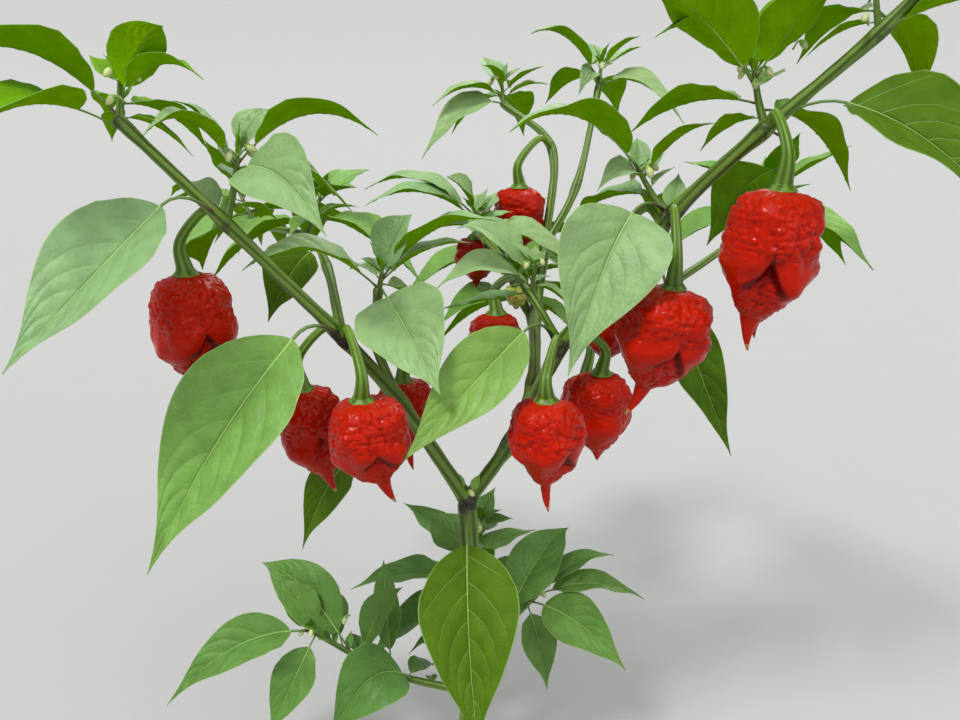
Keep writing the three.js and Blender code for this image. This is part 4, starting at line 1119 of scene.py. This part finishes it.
def seeded_leaves(shoot, taken, leafy=LEAFY_SHARE):
    """The seeded leaves on a share of a shoot, in a golden spiral. One that would touch what is there is
    skipped."""
    places = shoot_places(shoot)
    random = seeded(shoot.seed)
    found = []
    for i in range(2 * shoot.more):
        if len(found) == shoot.more:
            break
        age = 1 - i / (2 * shoot.more)
        spiral = (i * GOLDEN_SHARE + SPIRAL_JITTER * next(random)) % 1
        long = shoot.size * lerp(YOUNG_LENGTH, 1, age) * lerp(*LENGTH_RANGE, next(random))
        rise = CROWN_RISE - RISE_FALL * age + RISE_JITTER * (next(random) - 0.5)
        wide = long * lerp(*WIDTH_RANGE, next(random))
        tilt = TILT_JITTER * (next(random) - 0.5)
        at = line_point(places, 1 - leafy * age)
        turn = shoot.toward + shoot.arc * (spiral - 0.5)
        leaf = Leaf(at, turn, rise, long, wide, long * ARCH_SHARE * age, tilt, None, shoot.age)
        points, radii = leaf_room(leaf)
        apart = np.linalg.norm(points[:, None] - taken[0], axis=-1)
        if np.all(apart > radii[:, None] + taken[1]):
            taken[0] = np.vstack([taken[0], points])
            taken[1] = np.concatenate([taken[1], radii])
            found.append(leaf)
    return found


def grow_leaves():
    """All leaves by the source's rule: the large ones, and those of each shoot."""
    rooms = [limb_line(limb, ROOM_STEPS) for limb in LIMBS] + [pod_room(pod) for pod in PODS]
    big = {}
    for row in BIG_LEAVES:
        name, root, stalk, *rest = row
        big[name] = [Leaf(spot(root), *rest[:-1], np.array(stalk, dtype=float), rest[-1])]
    placed = {shoot.name: placed_leaves(shoot) for shoot in SHOOTS}
    rooms += [leaf_room(leaf) for leaves in (*big.values(), *placed.values()) for leaf in leaves]
    taken = [np.vstack([room[0] for room in rooms]), np.concatenate([room[1] for room in rooms])]
    grown = {shoot.name: placed[shoot.name] + seeded_leaves(shoot, taken) for shoot in SHOOTS}
    for shoot in SHOOTS:
        more = FINER_LEAVES if shoot.leaves else FINER_LEAVES_ALONE
        finer = shoot._replace(more=more, size=FINER_SIZE * shoot.size, seed=shoot.seed + FINER_SEED)
        grown[shoot.name] += seeded_leaves(finer, taken, FINER_SHARE)
    return {**big, **grown}


TOP, UNDER, VEIN, MARGIN, RIB, STALK = range(6)
LEAF_SEED = 5
CROWN_LEAVES = 4
CROWN_LENGTHS = (14, 7)
CROWN_RISES = (35, 75)
CROWN_WIDTH = 0.42  # as a share of the length
CROWN_ARCH = 1
CROWN_TILT = 15
RIB_RADIUS = 0.0062  # of a leaf's stalk, as a share of the leaf's length
RIB_LEAST = 0.12  # and in mm on top
RIB_KNUCKLE = 0.5  # how much thicker it is where it grows from its joint
KNUCKLE_SPREAD = 0.2  # as a share of the stalk
BROWN_SPREAD = 0.6  # of its brown foot, as such a share
MIDRIB_REACH = (0.03, 0.985)
RIB_TIP = 0.12  # the midrib's radius at the tip and what it adds at the foot, as shares of the stalk's
RIB_BODY = 0.7
RIB_TAPER = 1.3
RIB_DROP = 0.2  # how far the midrib lies below the blade's line, as a share of its radius

# Tiny leaves in the forks, where no shoot grows yet
TINY_LEAVES = (
    Leaf((-1.5, -4, 181), 150, 62, 12, 5, 1, 30, None, "mature"),
    Leaf((2, -4, 181), 40, 58, 10, 5, 1, 30, None, "mature"),
    Leaf((0, -5, 180), -100, 40, 8, 4, 2, 20, None, "young"),
    Leaf((-31, -11, 231), 170, 50, 10, 4, 2, 20, None, "young"),
    Leaf((41, -11, 257), -150, 45, 12, 5, 2, 20, None, "young"),
    Leaf((-52, -21, 264), -60, 60, 9, 4, 1, 20, None, "young"),
)


def blade_grid(leaf, hand):
    """The grid of half a blade: its columns, where the row of each point starts on the midrib, how many side
    veins it has, how far along the first lies, and which rows of faces lie on a vein."""
    columns, offsets, veins = BLADE_COLUMNS, VEIN_ROWS, VEINS
    if leaf.long < SMALL_LENGTH:
        columns, veins = SMALL_COLUMNS, SMALL_VEINS
    elif leaf.long >= LONG_LENGTH and leaf.at[1] < FRONT_DEPTH:
        columns, offsets = LONG_COLUMNS, LONG_VEIN_ROWS
    if leaf.long >= FULL_LENGTH:
        veins = FULL_VEINS
    columns = np.array(columns)
    shift = VEIN_SHIFTS[hand]
    low, high = FOOT_ROWS[-1] + FOOT_GAP, HEAD_ROWS[0] - HEAD_GAP
    rows = [(k + shift, offset) for k in range(-1, veins) for offset in offsets]
    rows = np.array([row for row in rows if low < sum(row) / veins < high])
    starts, offsets = rows[:, :1], rows[:, 1:]
    spread = np.where(np.abs(offsets) <= VEIN_WIDTH, 1 - VEIN_TAPER * columns, 1)
    foot, head = (np.array(ends)[:, None] * np.ones(len(columns)) for ends in (FOOT_ROWS, HEAD_ROWS))
    begins = np.vstack([foot, (starts + offsets * spread) / veins, head])
    on_vein = np.zeros(len(begins) - 1, dtype=bool)
    middle = slice(len(foot), len(foot) + len(offsets) - 1)
    on_vein[middle] = (offsets[:-1, 0] < 0) & (offsets[1:, 0] == VEIN_WIDTH)
    return columns, begins, veins, shift, on_vein


def blade_relief(columns, share, phase, chance):
    """How far a blade's surface puffs up between its veins and waves at its margin, for each mm of length."""
    arch = np.sin(math.pi * share)
    quilt = np.abs(np.sin(math.pi * phase)) ** QUILT_POWER - 0.5
    quilt = quilt * smooth(0, QUILT_START, columns) * (1 - QUILT_FALL * columns**2)
    wave = np.sin(2 * math.pi * (WAVES * share + chance[0])) * columns**2 * arch
    frill = np.sin(2 * math.pi * (FRILLS * share + chance[1])) * columns**4
    frill = frill * hill(share - FRILL_PLACE, FRILL_SPREAD)
    return QUILT * quilt * arch**0.5 + WAVE * wave * lerp(*WAVE_RANGE, chance[1]) + FRILL * frill


def midrib_sway(leaf, share, chance):
    """How far a midrib bends sideways, with the blade."""
    return leaf.long * SWAY * (2 * chance[2] - 1) * np.sin(math.pi * share)


def blade_half(skins, leaf, side, hand, chance):
    """Half a blade as a thin closed shell, whose rows run along its side veins. hand is 1 or -1."""
    columns, begins, veins, shift, on_vein = blade_grid(leaf, hand)
    slant = VEIN_SLANT * (leaf.wide / 2) * fine_outline(begins) / leaf.long
    straight, curved = VEIN_BENDS
    share = np.clip(begins + slant * (straight * columns + curved * columns**2), 0, BLADE_END)
    stalk = SMALL_STALK if leaf.stalk is None else 0
    points, along = blade_points(leaf, stalk + share * (1 - stalk))
    up = np.cross(along, side)

    half = (leaf.wide / 2) * fine_outline(share)
    fold = math.radians(LEAF_FOLD) * (BLADE_FOLDS[0] - BLADE_FOLDS[1] * columns)
    steps = np.diff(columns, prepend=0)
    out = half * np.cumsum(np.cos(fold) * steps)
    lift = half * np.cumsum(np.sin(fold) * steps)
    normal = up * np.cos(fold)[:, None] - hand * side * np.sin(fold)[:, None]
    phase = begins * veins - shift
    relief = blade_relief(columns, share, phase, chance)
    top = points + side * (hand * out + midrib_sway(leaf, share, chance))[..., None] + up * lift[..., None]
    top = top + normal * (leaf.long * relief)[..., None]
    thick = BLADE_THICKNESS * (1 - THIN_MARGIN * columns) * np.minimum(1, leaf.long / THICK_LENGTH)
    ridge = np.where(np.abs(phase - np.round(phase)) < 2 * VEIN_WIDTH, VEIN_RIDGE, 0) * (1 - columns)
    under = top - normal * (thick + ridge * np.minimum(1, leaf.long / RIDGED_LENGTH))[..., None]
    rings = np.concatenate([top, under[:, ::-1]], axis=1)

    count = len(columns)
    slots = np.full((len(begins) - 1, 2 * count), TOP)
    slots[:, count:] = UNDER
    slots[on_vein, : count - 3] = VEIN
    slots[:, count - 2 : count + 1] = MARGIN
    skins.add(rings, slots=slots, flip=hand > 0, twin=True, tint=chance[3])


def rib_skin(skins, leaf, side, chance):
    """A leaf's stalk, which runs on along its blade as the midrib."""
    stalk = SMALL_STALK if leaf.stalk is None else BIG_STALK
    rows = RIB_ROWS if leaf.long >= SMALL_LENGTH else SMALL_RIB_ROWS
    on_blade = lerp(stalk, 1, np.linspace(*MIDRIB_REACH, rows))
    shares = np.concatenate([np.linspace(0, stalk, rows // 2), on_blade])
    points = np.array([leaf_point(leaf, share) for share in shares])
    blade = np.clip((shares - stalk) / (1 - stalk), 0, 1)
    base = RIB_RADIUS * leaf.long + RIB_LEAST
    knuckle = 1 + RIB_KNUCKLE * hill(shares, KNUCKLE_SPREAD * stalk)
    taper = np.where(blade > 0, RIB_TIP + RIB_BODY * (1 - blade) ** RIB_TAPER, 1)
    radii = base * knuckle * taper
    up = np.cross(blade_points(leaf, blade if leaf.stalk is not None else shares)[1], side)
    drop = np.where(blade > 0, RIB_DROP * radii, 0)
    points = points + side * midrib_sway(leaf, blade, chance)[:, None] - up * drop[:, None]
    slots = np.where(blade[1:] > 0, RIB, STALK)[:, None]
    root = hill(shares, BROWN_SPREAD * stalk)[:, None]
    skins.add(tube(points, even(radii, RIB_SIDES)), slots=slots, root=root, tint=chance[3])


def leaf_skin(skins, leaf, random):
    """A whole leaf, whose waves, sway and tint are drawn at random."""
    tilt = math.radians(leaf.tilt)
    facing = np.array([0, -math.sin(tilt), math.cos(tilt)])
    side = unit(np.cross(facing, heading(leaf.turn, leaf.rise)))
    chance = [next(random) for _ in range(4)]
    for hand in (1, -1):
        blade_half(skins, leaf, side, hand, chance)
    rib_skin(skins, leaf, side, chance)


def crown_leaves(shoot, random):
    """The tiny upright leaves that close round a shoot's growing tip."""
    crown = spot(shoot.crown)
    leaves = []
    for i in range(CROWN_LEAVES):
        turn = 360 * (i * GOLDEN_SHARE + next(random))
        long = lerp(*CROWN_LENGTHS, i / (CROWN_LEAVES - 1))
        rise = lerp(*CROWN_RISES, next(random))
        wide = CROWN_WIDTH * long
        leaves.append(Leaf(crown, turn, rise, long, wide, CROWN_ARCH, CROWN_TILT, None, shoot.age))
    return leaves


def make_leaves(grown):
    """The leaves, joined by age and place into a few pieces, one for each class with its painted light or
    shade.
    """
    random = seeded(LEAF_SEED)
    groups = {age: Skins("tint", "root") for age in AGES_AND_LIGHT}
    for node, leaves in grown.items():
        for leaf in leaves:
            leaf_skin(groups[leaf.age], leaf, random)
            groups[leaf.age].nodes.add(node)
    for shoot in SHOOTS:
        for leaf in crown_leaves(shoot, random):
            leaf_skin(groups[shoot.age], leaf, random)
    for leaf in TINY_LEAVES:
        leaf_skin(groups[leaf.age], leaf._replace(at=spot(leaf.at)), random)
    stalk = petiole_look()
    for name, skins in groups.items():
        age = AGES_AND_LIGHT[name]
        # the tops and undersides of a class carry its painted light and shade
        looks = [
            blade_look(f"blade_top_{name}", age.top, net=0.13, rough=0.4, shine=age.shine),
            blade_look(f"blade_under_{name}", age.under, net=0.1, rough=0.6, shine=0.0),
        ]
        for line, (share, rough) in BLADE_LINES.items():
            looks.append(plain_look(f"blade_{line}_{name}", between(age.top, RIB_GREEN, share), rough))
        skins.build(f"leaves_{name}", "leaf_blade", [*looks, stalk])


TWIG_RIDGES = 5
TWIG_RIDGE_DEPTH = 0.06
TWIG_CONTRAST = 0.4  # between its ridges and grooves, partly its own stripes and partly painted shade
TWIG_JOINT_POWER = 6  # how soon the dark of a twig's joint fades along it


def make_twigs(bark):
    """The stems of the shoots."""
    skins = Skins(*BARK_MARKS)
    for index, shoot in enumerate(SHOOTS):
        points = line_points(shoot_places(shoot), TWIG_STEPS)
        shares = (np.arange(TWIG_STEPS + 1) / TWIG_STEPS)[:, None]
        ribs = np.cos(TWIG_RIDGES * side_angles(TWIG_SIDES) + index)
        radii = shoot.thick * (1 - TWIG_TAPER * shares) * (1 + TWIG_RIDGE_DEPTH * ribs)
        ridge = 0.5 + TWIG_CONTRAST * ribs
        skins.add(tube(points, radii), ridge=ridge, joint=(1 - shares) ** TWIG_JOINT_POWER)
        skins.nodes.add(shoot.name)
    skins.build("twigs", "stem_bark", [bark])


# The flower buds: small nodding eggs on thin stalks
BUD_SEED = 17
BUDS = 3  # on each shoot
BUD_STALK = 7  # length in mm
BUD_BEND = 0.7  # of that, where the stalk bends
BUD_REACH = 1.15  # of it, to the bud's tip
BUD_NOD = 45  # degrees that the stalk turns down
BUD_RISES = (20, 65)
BUD_SIZES = (0.7, 1)
BUD_ROWS = (
    (0, 0.45), (0.2, 0.4), (0.42, 0.42), (0.62, 0.5), (0.68, 0.95), (0.74, 1.2), (0.8, 1.45),
    (0.88, 1.6), (0.97, 1.5), (1.05, 1.15), (1.11, 0.7), (1.14, 0.25),
)
BUD_HEAD = 6  # the row where the pale petals start
EXTRA_RISES = (30, 70)
EXTRA_SIZE = 0.8
EXTRA_BUDS = (
    (103.8, -37, 362), (118, -33, 374), (138, -46, 381), (-60, 4, 107), (-80, 3, 97), (-118, -46, 356),
    (22, 58, 296), (0, -5, 180),
)


def bud_skin(skins, foot, turn, rise, size):
    """A flower bud, whose stalk sets off along turn and rise and then nods."""
    bend = foot + heading(turn, rise) * BUD_STALK * BUD_BEND * size
    tip = foot + heading(turn, rise - BUD_NOD) * BUD_STALK * BUD_REACH * size
    shares, radii = np.array(BUD_ROWS).T
    points = np.array([line_point((foot, bend, tip), min(share, 1)) for share in shares / shares[-1]])
    slots = np.where(np.arange(len(shares) - 1) >= BUD_HEAD, 1, 0)[:, None]
    skins.add(tube(points, even(size * radii, BUD_SIDES)), slots=slots)


def make_buds():
    """The buds at the shoots' tips, and a few more by the joints."""
    random = seeded(BUD_SEED)
    skins = Skins()
    for shoot in SHOOTS:
        for i in range(BUDS):
            turn = 360 * (i * GOLDEN_SHARE + next(random))
            rise, size = lerp(*BUD_RISES, next(random)), lerp(*BUD_SIZES, next(random))
            bud_skin(skins, spot(shoot.crown), turn, rise, size)
        skins.nodes.add(shoot.name)
    for place in EXTRA_BUDS:
        turn, rise = 360 * next(random), lerp(*EXTRA_RISES, next(random))
        bud_skin(skins, spot(place), turn, rise, EXTRA_SIZE)
    stalk = plain_look("bud_stalk", BUD_GREEN, rough=0.45)
    head = plain_look("bud_head", BUD_PALE, rough=0.5)
    skins.build("buds", "leaf_blade", [stalk, head])


# The floor, the lights and the camera, in metres
EYE = (0.006, -0.340, 0.360)
LOOK_DOWN = 18.6  # degrees below the level
LENS = 30
SENSOR = 36
NEAREST = 0.01
FLOOR_DROP = 0.0005  # below the plant's foot
FLOOR_RADIUS = 2.4
BEND_RADIUS = 6  # of the curve from the floor up to the rim of the pale bowl round it
BEND_STEPS = 12
BEND_ANGLE = 50
STAGE_SIDES = 96
SKY_STRENGTH = 0.3


def make_stage():
    """A pale round floor that curves up on all sides, open above."""
    bend = np.radians(np.linspace(0, BEND_ANGLE, BEND_STEPS + 1))
    reach = np.concatenate([[0, 1], FLOOR_RADIUS + BEND_RADIUS * np.sin(bend)])
    height = np.concatenate([[0, 0], BEND_RADIUS * (1 - np.cos(bend))]) - FLOOR_DROP
    angles = side_angles(STAGE_SIDES)
    corners = [(0, 0, height[0])]
    corners += [(r * math.cos(a), r * math.sin(a), h) for r, h in zip(reach[1:], height[1:]) for a in angles]
    faces = [(0, 1 + i, 1 + (i + 1) % STAGE_SIDES) for i in range(STAGE_SIDES)]
    for row in range(len(reach) - 2):
        inner, outer = 1 + row * STAGE_SIDES, 1 + (row + 1) * STAGE_SIDES
        for i in range(STAGE_SIDES):
            j = (i + 1) % STAGE_SIDES
            faces.append((inner + i, outer + i, outer + j, inner + j))
    mesh = bpy.data.meshes.new("floor")
    mesh.from_pydata(corners, [], faces)
    mesh.shade_smooth()
    mesh.materials.append(floor_look())
    floor = bpy.data.objects.new("floor", mesh)
    bpy.context.scene.collection.objects.link(floor)
    bpy.context.scene.view_settings.view_transform = "Standard"
    world = bpy.data.worlds.new("studio")
    bpy.context.scene.world = world
    world.use_nodes = True
    sky = world.node_tree.nodes["Background"]
    sky.inputs["Color"].default_value = tone(SKY)
    sky.inputs["Strength"].default_value = SKY_STRENGTH


def make_light(name, place, strength, spread):
    """A far soft light that shines from place towards the plant. spread is how wide it looks, in degrees."""
    data = bpy.data.lights.new(name, "SUN")
    data.energy = strength
    data.angle = math.radians(spread)
    lamp = bpy.data.objects.new(name, data)
    bpy.context.scene.collection.objects.link(lamp)
    lamp.location = place
    turn = math.atan2(-place[1], -place[0]) - math.pi / 2
    tip = math.atan2(math.hypot(place[0], place[1]), place[2])
    lamp.rotation_euler = (tip, 0, turn)


def make_camera():
    data = bpy.data.cameras.new("camera")
    data.lens = LENS
    data.sensor_width = SENSOR
    data.clip_start = NEAREST
    camera = bpy.data.objects.new("camera", data)
    bpy.context.scene.collection.objects.link(camera)
    camera.location = EYE
    camera.rotation_euler = (math.radians(90 - LOOK_DOWN), 0, 0)
    bpy.context.scene.camera = camera


make_camera()
make_stage()
make_light("key", place=(-1.0, -1.2, 2.2), strength=2.0, spread=12)
make_light("top", place=(0.2, -0.4, 2.4), strength=1.8, spread=100)
make_light("fill", place=(1.6, -1.4, 1.3), strength=0.6, spread=40)
make_light("rear", place=(0.6, 1.9, 1.7), strength=0.9, spread=25)

bark = ribbed_look("bark", BARK_GROOVE_SHADE, BARK_RIDGE, dark=0.9)
make_stem(bark)
make_limbs(bark)
make_pods()
make_leaves(grow_leaves())
make_twigs(bark)
make_buds()
